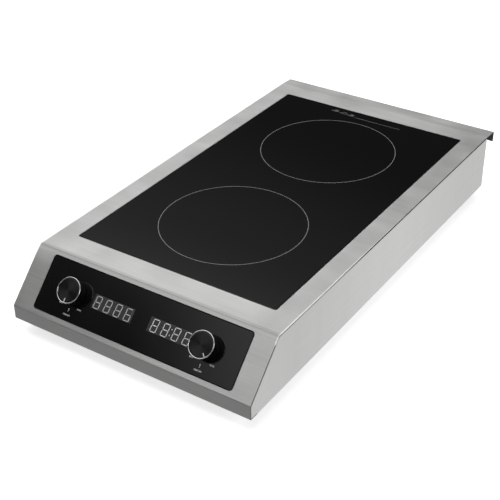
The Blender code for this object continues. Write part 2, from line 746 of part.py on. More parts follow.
def make_bracket(slope_frame):
    """Pan behind the panel, hung on the slope's inner face by a flange at each end."""
    wall = PANEL_HALF + PANEL_GAP + REST_GAP
    high = -COVER_SHEET - REST_GAP
    line = [
        (wall + BRACKET_FLANGE, high), (wall, high), (wall, BRACKET_TOP),
        (-wall, BRACKET_TOP), (-wall, high), (-wall - BRACKET_FLANGE, high),
    ]
    low = PANEL_MIDDLE - BRACKET_LENGTH / 2
    shape = prism(folded(line, BRACKET_SHEET, BRACKET_BEND, 1), low, low + BRACKET_LENGTH, "Y")
    bracket = add_part("panel_bracket", shape, "zinc_steel", slope_frame)
    reach = (BRACKET_TOP - 2 * BRACKET_SHEET, BRACKET_TOP + BRACKET_SHEET)
    cuts = [prism(window_outline(side, 0), *reach) for side in SIDES]
    for side in SIDES.values():
        cuts.append(cylinder(BUSHING_HOLE, *reach, PLAIN_SIDES, (side * KNOB_X, PANEL_MIDDLE)))
    combine(bracket, "DIFFERENCE", "openings", together(cuts))


def make_displays(slope_frame):
    front = -PANEL_THICKNESS + 2 * REST_GAP
    back = -BOARD_DEPTH + REST_GAP
    for side in SIDES:
        body = prism(window_outline(side, -2 * REST_GAP), back, front)
        add_part(f"display_{side}", body, "black_plastic", slope_frame)
    half = PANEL_HALF - BOARD_INSET
    low = PANEL_MIDDLE - BOARD_LENGTH / 2
    board = box((-half, low, -BOARD_DEPTH - BOARD_THICKNESS), (half, low + BOARD_LENGTH, -BOARD_DEPTH))
    add_part("control_board", board, "circuit_green", slope_frame)


def flatten(shape, limit, low):
    """Cuts a flat on a turned shape: above the height low, no point lies past limit in Y."""
    points, faces = shape
    return [(x, min(y, limit) if z > low else y, z) for x, y, z in points], faces


def make_pot(side, axis):
    """Potentiometer behind the bracket, held by a nut in front of it."""
    bore = SHAFT_RADIUS + SHAFT_FIT
    mouth = -REST_GAP
    blind = POT_BOTTOM + 2 * REST_GAP
    pot = [
        (0, POT_BOTTOM), (POT_RADIUS, POT_BOTTOM), (POT_RADIUS, POT_TOP), (BUSHING_RADIUS, POT_TOP),
        (BUSHING_RADIUS, mouth), (bore, mouth), (bore, blind), (0, blind),
    ]
    add_part(f"pot_{side}", lathe(pot, PLAIN_SIDES), "zinc_steel", axis)
    low = BRACKET_TOP + REST_GAP
    corners = circle(NUT_ACROSS / math.sqrt(3), 6)
    nut = add_part(f"pot_nut_{side}", prism(corners, low, low + NUT_HEIGHT), "chrome", axis)
    thread = cylinder(BUSHING_HOLE, low - NUT_HEIGHT, low + 2 * NUT_HEIGHT, PLAIN_SIDES)
    combine(nut, "DIFFERENCE", "thread", thread)


def make_knob(side, axis):
    """Shaft, knob body and ring. They turn about the axis empty's Z."""
    turn = (0, 0, POINTERS[side])
    top = BODY_TOP - SHAFT_COVER
    flat = KNOB_LIFT + FLAT_START
    low = POT_BOTTOM + 4 * REST_GAP
    shaft = [
        (0, low), (SHAFT_RADIUS, low), (SHAFT_RADIUS, flat), (SHAFT_RADIUS, flat + EDGE / 4),
        (SHAFT_RADIUS, top - EDGE), (SHAFT_RADIUS - EDGE, top), (0, top),
    ]
    shaft_shape = flatten(lathe(shaft, PLAIN_SIDES), SHAFT_FLAT, flat)
    add_part(f"shaft_{side}", shaft_shape, "chrome", axis, rotation=turn)

    bore = SHAFT_RADIUS + SHAFT_FIT
    bore_flat = flat + SHAFT_FIT
    skirt = BUSHING_HOLE + SKIRT_WALL
    hollow = KNOB_LIFT + SKIRT_HEIGHT
    outer = RING_INNER + KNOB_DRAFT
    body = [
        (0, BODY_TOP), (outer - EDGE, BODY_TOP), (outer, BODY_TOP - EDGE),
        (RING_INNER + EDGE, KNOB_LIFT + EDGE), (RING_INNER, KNOB_LIFT), (skirt, KNOB_LIFT),
        (skirt, hollow), (bore, hollow), (bore, bore_flat), (bore, bore_flat + EDGE / 4),
        (bore, top + REST_GAP), (0, top + REST_GAP),
    ]
    knob = flatten_inside(lathe(body, FINE_SIDES), bore, SHAFT_FLAT + SHAFT_FIT, bore_flat)
    add_part(f"knob_{side}", knob, "black_plastic", axis, rotation=turn)

    foot = KNOB_TOP - RING_HEIGHT
    ring = [
        (RING_INNER, foot), (KNOB_RADIUS, foot), (KNOB_RADIUS, KNOB_TOP - EDGE),
        (KNOB_RADIUS - EDGE, KNOB_TOP), (RING_INNER + EDGE, KNOB_TOP), (RING_INNER, KNOB_TOP - EDGE),
    ]
    add_part(f"knob_ring_{side}", lathe(ring, FINE_SIDES), "chrome", axis, rotation=turn)


def make_cap(side, axis):
    """Spun cap inside the knob's ring, with the pointer let into it."""
    turn = (0, 0, POINTERS[side])
    top = KNOB_TOP - EDGE
    low = top - CAP_THICKNESS
    radius = RING_INNER - INSERT_GAP
    profile = [
        (0, low), (radius, low), (radius, top - EDGE / 2), (radius - EDGE / 2, top), (0, top),
    ]
    cap = add_part(f"knob_cap_{side}", lathe(profile, FINE_SIDES), "spun_black", axis, rotation=turn)
    slot = INSERT_GAP / 3
    across = POINTER_WIDTH / 2
    near = -radius + 1.5 * EDGE
    far = near + POINTER_LENGTH
    deep = top - CAP_THICKNESS / 2
    pocket = box((-across - slot, near - slot, deep), (across + slot, far + slot, top + CAP_THICKNESS))
    combine(cap, "DIFFERENCE", "pocket", pocket)
    inlay = box((-across, near, deep + slot), (across, far, top + slot))
    add_part(f"pointer_{side}", inlay, "white_print", axis, rotation=turn)


def flatten_inside(shape, bore, limit, low):
    """Leaves the matching flat in a knob's bore, above the height low."""
    points, faces = shape
    result = []
    for x, y, z in points:
        inside = math.hypot(x, y) < bore * 1.01 and z > low + 1e-6
        result.append((x, min(y, limit) if inside else y, z))
    return result, faces


# ---------------------------------------------------------------- cooking zones

def coil_spiral():
    """One flat winding: a rectangular section carried along an even spiral."""
    loops = []
    steps = COIL_TURNS * PLAIN_SIDES
    first, last = COIL_INNER + WIRE_WIDTH / 2, COIL_OUTER - WIRE_WIDTH / 2
    for k in range(steps + 1):
        angle = math.tau * COIL_TURNS * k / steps
        radius = first + (last - first) * k / steps
        way = Vector((math.cos(angle), math.sin(angle)))
        near, far = way * (radius - WIRE_WIDTH / 2), way * (radius + WIRE_WIDTH / 2)
        loops.append([(*near, COIL_BOTTOM), (*far, COIL_BOTTOM), (*far, COIL_TOP), (*near, COIL_TOP)])
    return loft(loops)


def ferrite_star():
    """Six flat bars in one piece, with a round hole for the sensor."""
    outline = []
    waist = FERRITE_BAR / 2 / math.tan(math.pi / 6)
    for k in range(6):
        angle = math.tau * k / 6
        way = Vector((math.cos(angle), math.sin(angle)))
        across = left_of(way) * FERRITE_BAR / 2
        outline += [way * waist - across, way * FERRITE_REACH - across, way * FERRITE_REACH + across]
    return prism([tuple(point) for point in outline], FERRITE_TOP - FERRITE_THICKNESS, FERRITE_TOP)


def make_zone(name, y):
    place = (0, y, 0)
    add_part(f"coil_{name}", coil_spiral(), "copper", location=place)
    hole = SENSOR_RADIUS + REST_GAP
    mica_low = MICA_TOP - MICA_THICKNESS
    mica = [(hole, mica_low), (MICA_RADIUS, mica_low), (MICA_RADIUS, MICA_TOP), (hole, MICA_TOP)]
    add_part(f"mica_{name}", lathe(mica, FINE_SIDES), "mica", location=place)

    rim, coil_place = COIL_TOP - CARRIER_RIM, COIL_OUTER + 3 * REST_GAP
    plate = [
        (hole, CARRIER_BOTTOM), (CARRIER_RADIUS, CARRIER_BOTTOM), (CARRIER_RADIUS, rim),
        (coil_place, rim), (coil_place, CARRIER_TOP), (hole, CARRIER_TOP),
    ]
    carrier = add_part(f"coil_carrier_{name}", lathe(plate, FINE_SIDES), "heat_plastic", location=place)
    posts = []
    heights = (SHELF_TOP + REST_GAP, CARRIER_BOTTOM + CARRIER_THICKNESS / 2)
    for k in range(3):
        angle = math.tau * (k + 0.25) / 3
        centre = (POST_CIRCLE * math.cos(angle), POST_CIRCLE * math.sin(angle))
        posts.append(cylinder(CARRIER_POST, *heights, 8, centre))
    combine(carrier, "UNION", "posts", together(posts))

    ferrite = add_part(f"ferrite_{name}", ferrite_star(), "ferrite", location=place)
    combine(ferrite, "DIFFERENCE", "hole", cylinder(hole, SHELF_Z, DECK_Z, PLAIN_SIDES))

    top = GLASS_BOTTOM - REST_GAP
    low = FERRITE_TOP - FERRITE_THICKNESS
    collar_low, collar_top = CARRIER_TOP + REST_GAP, CARRIER_TOP + COLLAR_HEIGHT
    sensor = [
        (0, low), (SENSOR_RADIUS, low), (SENSOR_RADIUS, collar_low), (SENSOR_COLLAR, collar_low),
        (SENSOR_COLLAR, collar_top), (SENSOR_RADIUS, collar_top), (SENSOR_RADIUS, top - EDGE),
        (SENSOR_RADIUS - EDGE, top), (0, top),
    ]
    add_part(f"sensor_{name}", lathe(sensor, PLAIN_SIDES), "heat_plastic", location=place)


def make_shelf():
    """Folded shelf that stands on the floor and carries both coils."""
    foot = FLOOR_Z + REST_GAP
    line = [
        (-SHELF_HALF - SHELF_FOOT, foot), (-SHELF_HALF, foot), (-SHELF_HALF, SHELF_Z),
        (SHELF_HALF, SHELF_Z), (SHELF_HALF, foot), (SHELF_HALF + SHELF_FOOT, foot),
    ]
    front, rear = ZONES["front"] - SHELF_OVERHANG, ZONES["rear"] + SHELF_OVERHANG
    shelf = add_part("coil_shelf", prism(folded(line, SHELF_SHEET), front, rear, "Y"), "aluminium")
    reach = (SHELF_Z - SHELF_SHEET, SHELF_TOP + SHELF_SHEET)
    holes = [cylinder(SHELF_HOLE, *reach, PLAIN_SIDES, (0, y)) for y in ZONES.values()]
    combine(shelf, "DIFFERENCE", "openings", together(holes))


# ---------------------------------------------------------------- electronics and cooling

def heatsink_outline():
    """Comb of even fins on a base, seen along the airflow."""
    pitch = SINK_WIDTH / (2 * SINK_FINS - 1)
    low = BOARD_TOP + REST_GAP
    outline = [(-SINK_WIDTH / 2, low), (SINK_WIDTH / 2, low)]
    for k in range(SINK_FINS):
        right = SINK_WIDTH / 2 - 2 * k * pitch
        if k:
            outline.append((right, low + SINK_BASE))
        outline += [(right, low + SINK_HEIGHT), (right - pitch, low + SINK_HEIGHT)]
        if k < SINK_FINS - 1:
            outline.append((right - pitch, low + SINK_BASE))
    return outline


def make_power(name, side):
    """One power board with the parts that stand on it."""
    x = side * POWER_X
    low = (x - POWER_WIDTH / 2, POWER_FRONT, BOARD_Z)
    high = (x + POWER_WIDTH / 2, POWER_FRONT + POWER_LENGTH, BOARD_TOP)
    add_part(f"power_board_{name}", box(low, high), "circuit_green")
    sink_front = POWER_FRONT + SINK_INSET
    sink = prism(heatsink_outline(), sink_front, sink_front + SINK_LENGTH, "Y")
    add_part(f"heatsink_{name}", sink, "aluminium", location=(x, 0, 0))
    rest = BOARD_TOP + REST_GAP
    behind = sink_front + SINK_LENGTH + REST_GAP
    case = box(
        (x - TRANSISTOR_HALF_WIDTH, behind, rest + TRANSISTOR_LEGS),
        (x + TRANSISTOR_HALF_WIDTH, behind + TRANSISTOR_DEPTH, rest + TRANSISTOR_TOP),
    )
    add_part(f"power_transistor_{name}", case, "black_plastic")
    middle = POWER_FRONT + POWER_LENGTH - FILTER_INSET
    capacitor = box(
        (x - CAPACITOR_FAR, middle - CAPACITOR_DEPTH / 2, rest),
        (x - CAPACITOR_NEAR, middle + CAPACITOR_DEPTH / 2, rest + CAPACITOR_HEIGHT),
    )
    add_part(f"capacitor_{name}", capacitor, "capacitor_film")
    choke = lathe(circle(CHOKE_TUBE, 6, (CHOKE_RADIUS, 0)), PLAIN_SIDES)
    place = (x + CHOKE_OFFSET, middle, rest + CHOKE_TUBE)
    add_part(f"choke_{name}", choke, "copper", location=place)


def make_fan(name, side):
    """Square fan frame over the floor vents, and the impeller that turns on its axle."""
    low = FLOOR_Z + REST_GAP
    centre = (side * POWER_X, FAN_Y, low)
    half = FAN_SIZE / 2
    square = rounded_rectangle((-half, -half), (half, half), FAN_CORNER, 1)
    frame = add_part(f"fan_frame_{name}", prism(square, 0, FAN_DEPTH), "black_plastic", location=centre)
    bore = cylinder(FAN_BORE, -FAN_DEPTH, 2 * FAN_DEPTH, FINE_SIDES)
    combine(frame, "DIFFERENCE", "bore", bore)
    strut, reach = STRUT_HALF_WIDTH, half - FAN_RIM
    strut_top = STRUT_LIFT + STRUT_HEIGHT
    for label, x, y in (("strut_x", reach, strut), ("strut_y", strut, reach)):
        combine(frame, "UNION", label, box((-x, -y, STRUT_LIFT), (x, y, strut_top)))
    motor_low, motor_top = STRUT_LIFT / 2, strut_top + FAN_RIM
    axle_top = FAN_DEPTH - AXLE_INSET
    motor = [
        (0, motor_low), (HUB_RADIUS, motor_low), (HUB_RADIUS, motor_top),
        (AXLE_RADIUS, motor_top), (AXLE_RADIUS, axle_top), (0, axle_top),
    ]
    combine(frame, "UNION", "motor", lathe(motor, PLAIN_SIDES))

    low, top = motor_top + 2 * REST_GAP, FAN_DEPTH - FAN_RIM
    bore_radius, bore_top = AXLE_RADIUS + AXLE_FIT, axle_top + 2 * REST_GAP
    hub = [
        (0, bore_top), (bore_radius, bore_top), (bore_radius, low), (HUB_RADIUS, low),
        (HUB_RADIUS, top - HUB_EDGE), (HUB_RADIUS - HUB_EDGE, top), (0, top),
    ]
    impeller = add_part(f"impeller_{name}", lathe(hub, PLAIN_SIDES), "black_plastic", location=centre)
    blades = [fan_blade(k, (low + top) / 2) for k in range(BLADE_COUNT)]
    combine(impeller, "UNION", "blades", together(blades))


def fan_blade(number, middle):
    """Twisted blade: at each radius a flat section, steeper near the hub."""
    loops = []
    radii = (BLADE_ROOT, (BLADE_ROOT + BLADE_TIP) / 2, BLADE_TIP)
    for radius, pitch in zip(radii, BLADE_PITCHES):
        chord = Vector((0, math.cos(pitch), math.sin(pitch))) * BLADE_HALF_CHORD
        thick = Vector((0, -math.sin(pitch), math.cos(pitch))) * BLADE_HALF_THICKNESS
        loop = []
        for along, across in ((-1, -1), (1, -1), (1, 1), (-1, 1)):
            point = Vector((radius, 0, middle)) + chord * along + thick * across
            loop.append(spun_about_z(point, math.tau * number / BLADE_COUNT))
        loops.append(loop)
    return loft(loops)


def spun_about_z(point, angle):
    cosine, sine = math.cos(angle), math.sin(angle)
    return point.x * cosine - point.y * sine, point.x * sine + point.y * cosine, point.z


def make_terminal_block():
    """Mains terminal block on the floor behind the power boards, with a row of wire ways."""
    low = FLOOR_Z + REST_GAP
    rear = REAR_WALL_Y - BLOCK_INSET
    front = rear - BLOCK_DEPTH
    body = box((-BLOCK_HALF_WIDTH, front, low), (BLOCK_HALF_WIDTH, rear, low + BLOCK_HEIGHT))
    block = add_part("terminal_block", body, "heat_plastic")
    reach = (front - WAY_RADIUS, rear + WAY_RADIUS)
    centres = [(x, low + BLOCK_HEIGHT / 2) for x in (-WAY_PITCH, 0, WAY_PITCH)]
    ways = [cylinder(WAY_RADIUS, *reach, 8, centre, "Y") for centre in centres]
    combine(block, "DIFFERENCE", "ways", together(ways))


def main():
    clear_scene()
    slope_frame = add_empty("slope_frame", None, (0, BEND_Y, BEND_Z), (SLOPE_ANGLE, 0, 0))
    make_top_cover(slope_frame)
    make_base_tray()
    make_glass()
    make_feet()
    make_screws()
    make_glands()
    make_panel(slope_frame)
    make_bracket(slope_frame)
    make_displays(slope_frame)
    for name, side in SIDES.items():
        axis = add_empty(f"knob_axis_{name}", slope_frame, (side * KNOB_X, PANEL_MIDDLE, 0))
        make_pot(name, axis)
        make_knob(name, axis)
        make_cap(name, axis)
    for name, y in ZONES.items():
        make_zone(name, y)
    make_shelf()
    for name, side in SIDES.items():
        make_power(name, side)
        make_fan(name, side)
    make_terminal_block()


main()
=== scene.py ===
import json
import math

import bmesh
import bpy
import numpy as np
from mathutils import Matrix, Vector


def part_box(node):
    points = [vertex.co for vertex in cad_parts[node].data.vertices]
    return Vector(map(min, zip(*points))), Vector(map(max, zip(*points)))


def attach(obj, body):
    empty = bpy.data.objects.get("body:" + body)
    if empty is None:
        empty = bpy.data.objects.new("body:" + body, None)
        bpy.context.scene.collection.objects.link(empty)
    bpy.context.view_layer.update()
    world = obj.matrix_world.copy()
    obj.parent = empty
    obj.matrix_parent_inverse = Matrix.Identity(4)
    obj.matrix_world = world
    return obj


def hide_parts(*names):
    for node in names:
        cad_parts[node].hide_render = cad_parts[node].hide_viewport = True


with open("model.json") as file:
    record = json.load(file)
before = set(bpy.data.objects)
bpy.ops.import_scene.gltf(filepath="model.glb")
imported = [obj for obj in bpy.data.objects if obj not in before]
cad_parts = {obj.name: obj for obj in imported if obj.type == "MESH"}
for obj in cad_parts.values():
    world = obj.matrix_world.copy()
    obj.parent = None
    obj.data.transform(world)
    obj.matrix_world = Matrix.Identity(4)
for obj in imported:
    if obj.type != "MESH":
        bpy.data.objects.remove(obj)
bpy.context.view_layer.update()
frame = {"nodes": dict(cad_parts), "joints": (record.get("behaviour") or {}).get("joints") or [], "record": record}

# Looks of the two-zone countertop induction cooktop, round its fixed frame. Metres, +Z up.
MM = 0.001
DECK_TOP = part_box("top_cover")[1].z
PRINT = 0.03 * MM            # thickness of screen printing
GLASS_TOP = DECK_TOP - PRINT  # so that the print on the glass ends level with the deck
ZONES = {end: sum(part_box(f"mica_{end}"), Vector()) / 2 for end in ("front", "rear")}
KNOB_JOINTS = {joint["child"]: joint for joint in frame["joints"] if "knob" in joint["child"]}
SIDES = {"left": -1, "right": 1}

# The slope: x runs to the right, y up the slope from the middle of the panel, z straight out of it
SLOPE_OUT = Vector(KNOB_JOINTS["right_knob"]["axis"]).normalized()
SLOPE_UP = SLOPE_OUT.cross(Vector((1, 0, 0)))
SLOPE_AXES = np.array([(1, 0, 0), SLOPE_UP, SLOPE_OUT])
SLOPE_ORIGIN = np.array(KNOB_JOINTS["right_knob"]["pos_m"]) * (0, 1, 1)
KNOB_X = KNOB_JOINTS["right_knob"]["pos_m"][0]

# The housing's lines, read from the CAD nodes
HALF_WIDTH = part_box("top_cover")[1].x
FRONT_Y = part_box("top_cover")[0].y
REAR_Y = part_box("top_cover")[1].y
WALL_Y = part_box("base_tray")[1].y
CREASE_Y = FRONT_Y + 61 * MM
LIP_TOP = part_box("top_cover")[0].z + 20.6 * MM


# ---------------------------------------------------------------- surfaces

def on_slope(points, x=0.0, y=0.0, z=0.0):
    """Points in the slope's axes, moved by (x, y, z) in them, as points in the row frame."""
    return SLOPE_ORIGIN + (np.asarray(points) + (x, y, z)) @ SLOPE_AXES


def slope_points(node, x=0.0):
    """A CAD node's points in the slope's axes, with x as their origin."""
    mesh = frame["nodes"][node].data
    points = np.empty(len(mesh.vertices) * 3)
    mesh.vertices.foreach_get("co", points)
    return (points.reshape(-1, 3) - SLOPE_ORIGIN) @ SLOPE_AXES.T - (x, 0, 0)


def add_piece(name, points, faces, material, slot, body="root", replaces=(), smooth=True):
    """Puts points and faces into a mesh, merges what coincides and lets it ride on a CAD body."""
    mesh = bpy.data.meshes.new(name)
    mesh.from_pydata(np.asarray(points, float).reshape(-1, 3).tolist(), [], faces)
    shell = bmesh.new()
    shell.from_mesh(mesh)
    bmesh.ops.remove_doubles(shell, verts=shell.verts, dist=1e-7)
    bmesh.ops.recalc_face_normals(shell, faces=shell.faces)
    shell.to_mesh(mesh)
    shell.free()
    if smooth:
        mesh.shade_smooth()
        mesh.set_sharp_from_angle(angle=math.radians(35))
    mesh.materials.append(material)
    piece = bpy.data.objects.new(name, mesh)
    bpy.context.scene.collection.objects.link(piece)
    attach(piece, body)
    if replaces:
        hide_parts(*replaces)
    return piece


def grid_faces(rows, columns, close_rows=False, close_columns=True):
    """The quads between neighbouring rows and columns of a grid, as an array of point numbers."""
    index = np.arange(rows * columns).reshape(rows, columns)
    if close_rows:
        index = np.vstack([index, index[:1]])
    if close_columns:
        index = np.hstack([index, index[:, :1]])
    quads = np.stack([index[:-1, :-1], index[:-1, 1:], index[1:, 1:], index[1:, :-1]], axis=-1)
    return quads.reshape(-1, 4)


def filleted(corners, radius, steps=4):
    """A profile whose inner corners are rounded: near each corner the line follows a parabola that
    leaves one side and meets the next at the radius from the corner, or at 0.45 of a shorter side."""
    corners = np.asarray(corners, float)
    before, middle, after = corners[:-2], corners[1:-1], corners[2:]
    to_before, to_after = before - middle, after - middle
    reach_before = np.linalg.norm(to_before, axis=1, keepdims=True)
    reach_after = np.linalg.norm(to_after, axis=1, keepdims=True)
    start = middle + to_before / reach_before * np.minimum(radius, 0.45 * reach_before)
    end = middle + to_after / reach_after * np.minimum(radius, 0.45 * reach_after)
    t = np.linspace(0, 1, steps + 1)[:, None, None]
    arcs = (1 - t) ** 2 * start + 2 * t * (1 - t) * middle + t ** 2 * end
    return np.vstack([corners[:1], arcs.transpose(1, 0, 2).reshape(-1, 2), corners[-1:]])


def turned(profile, sides, ribs=0, rib_depth=0.0, rib_rows=None):
    """A profile of (radius, height) turned about Z. On the ribbed rows the radius loses
    rib_depth times the square of the sine of half the rib's phase."""
    profile = np.asarray(profile, float)
    angle = np.linspace(0, math.tau, sides, endpoint=False)
    radius = np.repeat(profile[:, :1], sides, axis=1)
    if ribs:
        weight = np.ones(len(profile)) if rib_rows is None else rib_rows(profile)
        radius = radius - rib_depth * weight[:, None] * np.sin(ribs * angle / 2) ** 2
    height = np.repeat(profile[:, 1:], sides, axis=1)
    return np.stack([radius * np.cos(angle), radius * np.sin(angle), height], axis=-1)


def add_turned(name, profile, sides, place, material, slot, closed=False, **more):
    """A turned piece. place takes the points from the profile's own axes to the row frame."""
    ribbing = {key: more.pop(key) for key in ("ribs", "rib_depth", "rib_rows") if key in more}
    grid = turned(profile, sides, **ribbing)
    faces = grid_faces(len(profile), sides, close_rows=closed).tolist()
    return add_piece(name, place(grid.reshape(-1, 3)), faces, material, slot, **more)


def slabs(outlines, low, high):
    """Flat plates: every outline of an array (plate, corner, 2) becomes a prism from low to high."""
    outlines = np.asarray(outlines, float)
    count, corners = outlines.shape[:2]
    levels = np.broadcast_to(np.array([low, high]).reshape(2, 1, 1, 1), (2, count, corners, 1))
    points = np.concatenate([np.broadcast_to(outlines, (2, count, corners, 2)), levels], axis=-1)
    index = np.arange(2 * count * corners).reshape(2, count, corners)
    sides = np.stack([index[0], np.roll(index[0], -1, 1), np.roll(index[1], -1, 1), index[1]], -1)
    caps = np.concatenate([index[0], index[1]])
    return points.reshape(-1, 3), sides.reshape(-1, 4).tolist() + caps.tolist()


def strokes(starts, ends, width):
    """Rectangles of one width round straight lines from starts to ends, as outlines."""
    starts, ends = np.asarray(starts, float), np.asarray(ends, float)
    way = (ends - starts) / np.linalg.norm(ends - starts, axis=1, keepdims=True)
    across = np.stack([-way[:, 1], way[:, 0]], axis=1) * width / 2
    return np.stack([starts - across, ends - across, ends + across, starts + across], axis=1)


def ring_points(radius, width, thickness, sides, centre):
    """A flat ring: a rectangle of width and thickness carried round a circle."""
    inner, outer = radius - width / 2, radius + width / 2
    profile = [(inner, 0), (outer, 0), (outer, thickness), (inner, thickness)]
    return turned(profile, sides).reshape(-1, 3) + np.array(centre)


# ---------------------------------------------------------------- materials

class Finish:
    """A material's nodes, built up call by call round one Principled shader."""

    def __init__(self, name, colour, roughness, metallic=0.0, specular=0.5):
        self.material = bpy.data.materials.new(name)
        self.material.use_nodes = True
        self.nodes = self.material.node_tree.nodes
        self.links = self.material.node_tree.links
        self.shader = self.nodes["Principled BSDF"]
        self.shader.inputs["Base Color"].default_value = (*colour, 1)
        self.shader.inputs["Roughness"].default_value = roughness
        self.shader.inputs["Metallic"].default_value = metallic
        self.shader.inputs["Specular IOR Level"].default_value = specular
        self.place = self.nodes.new("ShaderNodeTexCoord").outputs["Object"]

    def set(self, **values):
        """Constants straight on the shader's sockets, such as Coat_Weight=1."""
        for key, value in values.items():
            self.shader.inputs[key.replace("_", " ")].default_value = value
        return self

    def noise(self, scale, detail=3.0, stretch=(1, 1, 1), turn=(0, 0, 0)):
        """Noise from 0 to 1 whose grain is scale per metre, drawn out where stretch is small."""
        mapping = self.nodes.new("ShaderNodeMapping")
        mapping.inputs["Scale"].default_value = stretch
        mapping.inputs["Rotation"].default_value = turn
        noise = self.nodes.new("ShaderNodeTexNoise")
        noise.inputs["Scale"].default_value = scale
        noise.inputs["Detail"].default_value = detail
        self.links.new(self.place, mapping.inputs["Vector"])
        self.links.new(mapping.outputs["Vector"], noise.inputs["Vector"])
        return noise.outputs["Fac"]

    def spread(self, value, low, high, start=0.3, end=0.7):
        """The value from start to end, carried to low to high."""
        spread = self.nodes.new("ShaderNodeMapRange")
        for key, number in (("From Min", start), ("From Max", end), ("To Min", low), ("To Max", high)):
            spread.inputs[key].default_value = number
        self.links.new(value, spread.inputs["Value"])
        return spread.outputs["Result"]

    def math(self, operation, first, second):
        node = self.nodes.new("ShaderNodeMath")
        node.operation = operation
        for socket, value in zip(node.inputs, (first, second)):
            if isinstance(value, (int, float)):
                socket.default_value = value
            else:
                self.links.new(value, socket)
        return node.outputs["Value"]

    def mix(self, factor, first, second):
        """One colour to another by a factor."""
        mix = self.nodes.new("ShaderNodeMix")
        mix.data_type = "RGBA"
        mix.inputs[6].default_value = (*first, 1)
        mix.inputs[7].default_value = (*second, 1)
        self.links.new(factor, mix.inputs[0])
        return mix.outputs[2]

    def axis(self, letter):
        """One coordinate of the point, in the object's own axes."""
        split = self.nodes.new("ShaderNodeSeparateXYZ")
        self.links.new(self.place, split.inputs["Vector"])
        return split.outputs[letter]

    def blend(self, factor, first, second):
        """One value to another by a factor."""
        mix = self.nodes.new("ShaderNodeMix")
        for number, value in ((0, factor), (2, first), (3, second)):
            self.links.new(value, mix.inputs[number])
        return mix.outputs[0]

    def times(self, colour, factor):
        """A colour made lighter or darker by a factor."""
        scale = self.nodes.new("ShaderNodeVectorMath")
        scale.operation = "SCALE"
        self.links.new(colour, scale.inputs[0])
        self.links.new(factor, scale.inputs["Scale"])
        return scale.outputs["Vector"]

    def product(self, *values):
        result = values[0]
        for value in values[1:]:
            result = self.math("MULTIPLY", result, value)
        return result

    def colour(self, output):
        self.links.new(output, self.shader.inputs["Base Color"])
        return self

    def rough(self, output):
        self.links.new(output, self.shader.inputs["Roughness"])
        return self

    def bump(self, height, depth, strength=1.0):
        """Raises the surface by depth metres times the height."""
        bump = self.nodes.new("ShaderNodeBump")
        bump.inputs["Distance"].default_value = depth
        bump.inputs["Strength"].default_value = strength
        self.links.new(height, bump.inputs["Height"])
        self.links.new(bump.outputs["Normal"], self.shader.inputs["Normal"])
        return self

    def along(self, way):
        """Draws highlights out across a fixed grain direction."""
        grain = self.nodes.new("ShaderNodeCombineXYZ")
        for socket, value in zip(grain.inputs, way):
            socket.default_value = value
        self.links.new(grain.outputs["Vector"], self.shader.inputs["Tangent"])
        return self

    def spun(self):
        """Draws highlights out across the circles that the spin attribute follows."""
        spin = self.nodes.new("ShaderNodeAttribute")
        spin.attribute_name = "spin"
        turn = self.nodes.new("ShaderNodeVectorTransform")
        turn.vector_type = "VECTOR"
        turn.convert_from = "OBJECT"
        turn.convert_to = "WORLD"
        self.links.new(spin.outputs["Vector"], turn.inputs["Vector"])
        self.links.new(turn.outputs["Vector"], self.shader.inputs["Tangent"])
        return self


def tones(colour, low, high):
    """Two tones of one colour."""
    return tuple(channel * low for channel in colour), tuple(channel * high for channel in colour)


def brushed(name, colour, roughness, way, stretch, cloud_stretch=(1, 1, 1), painted_shading=None):
    """Sheet brushed one way: fine and coarse streaks in tone, roughness and height, and broad soft
    cloudiness. The last argument gives a factor of painted light and shade that follows the sheet's folds."""
    finish = Finish(name, colour, roughness, metallic=1.0)
    fine = finish.noise(1300, 4, stretch)
    coarse = finish.noise(480, 3, stretch)
    cloud = finish.noise(28, 4, cloud_stretch)
    streaks = finish.math("ADD", finish.math("MULTIPLY", fine, 0.5), finish.math("MULTIPLY", coarse, 0.5))
    tone = finish.spread(cloud, 0.95, 1.05)
    # painted light and shade that follow the sheet's folds
    if painted_shading:
        tone = finish.product(tone, painted_shading(finish))
    base = finish.mix(finish.spread(streaks, 0, 1, 0.34, 0.66), *tones(colour, 0.93, 1.06))
    finish.colour(finish.times(base, tone))
    uneven = finish.math("ADD", finish.spread(streaks, -0.05, 0.05), finish.spread(cloud, -0.03, 0.03))
    finish.rough(finish.math("ADD", uneven, roughness))
    finish.bump(streaks, 0.006 * MM)
    finish.set(Anisotropic=0.7, Anisotropic_Rotation=0.25)
    return finish.along(way).material


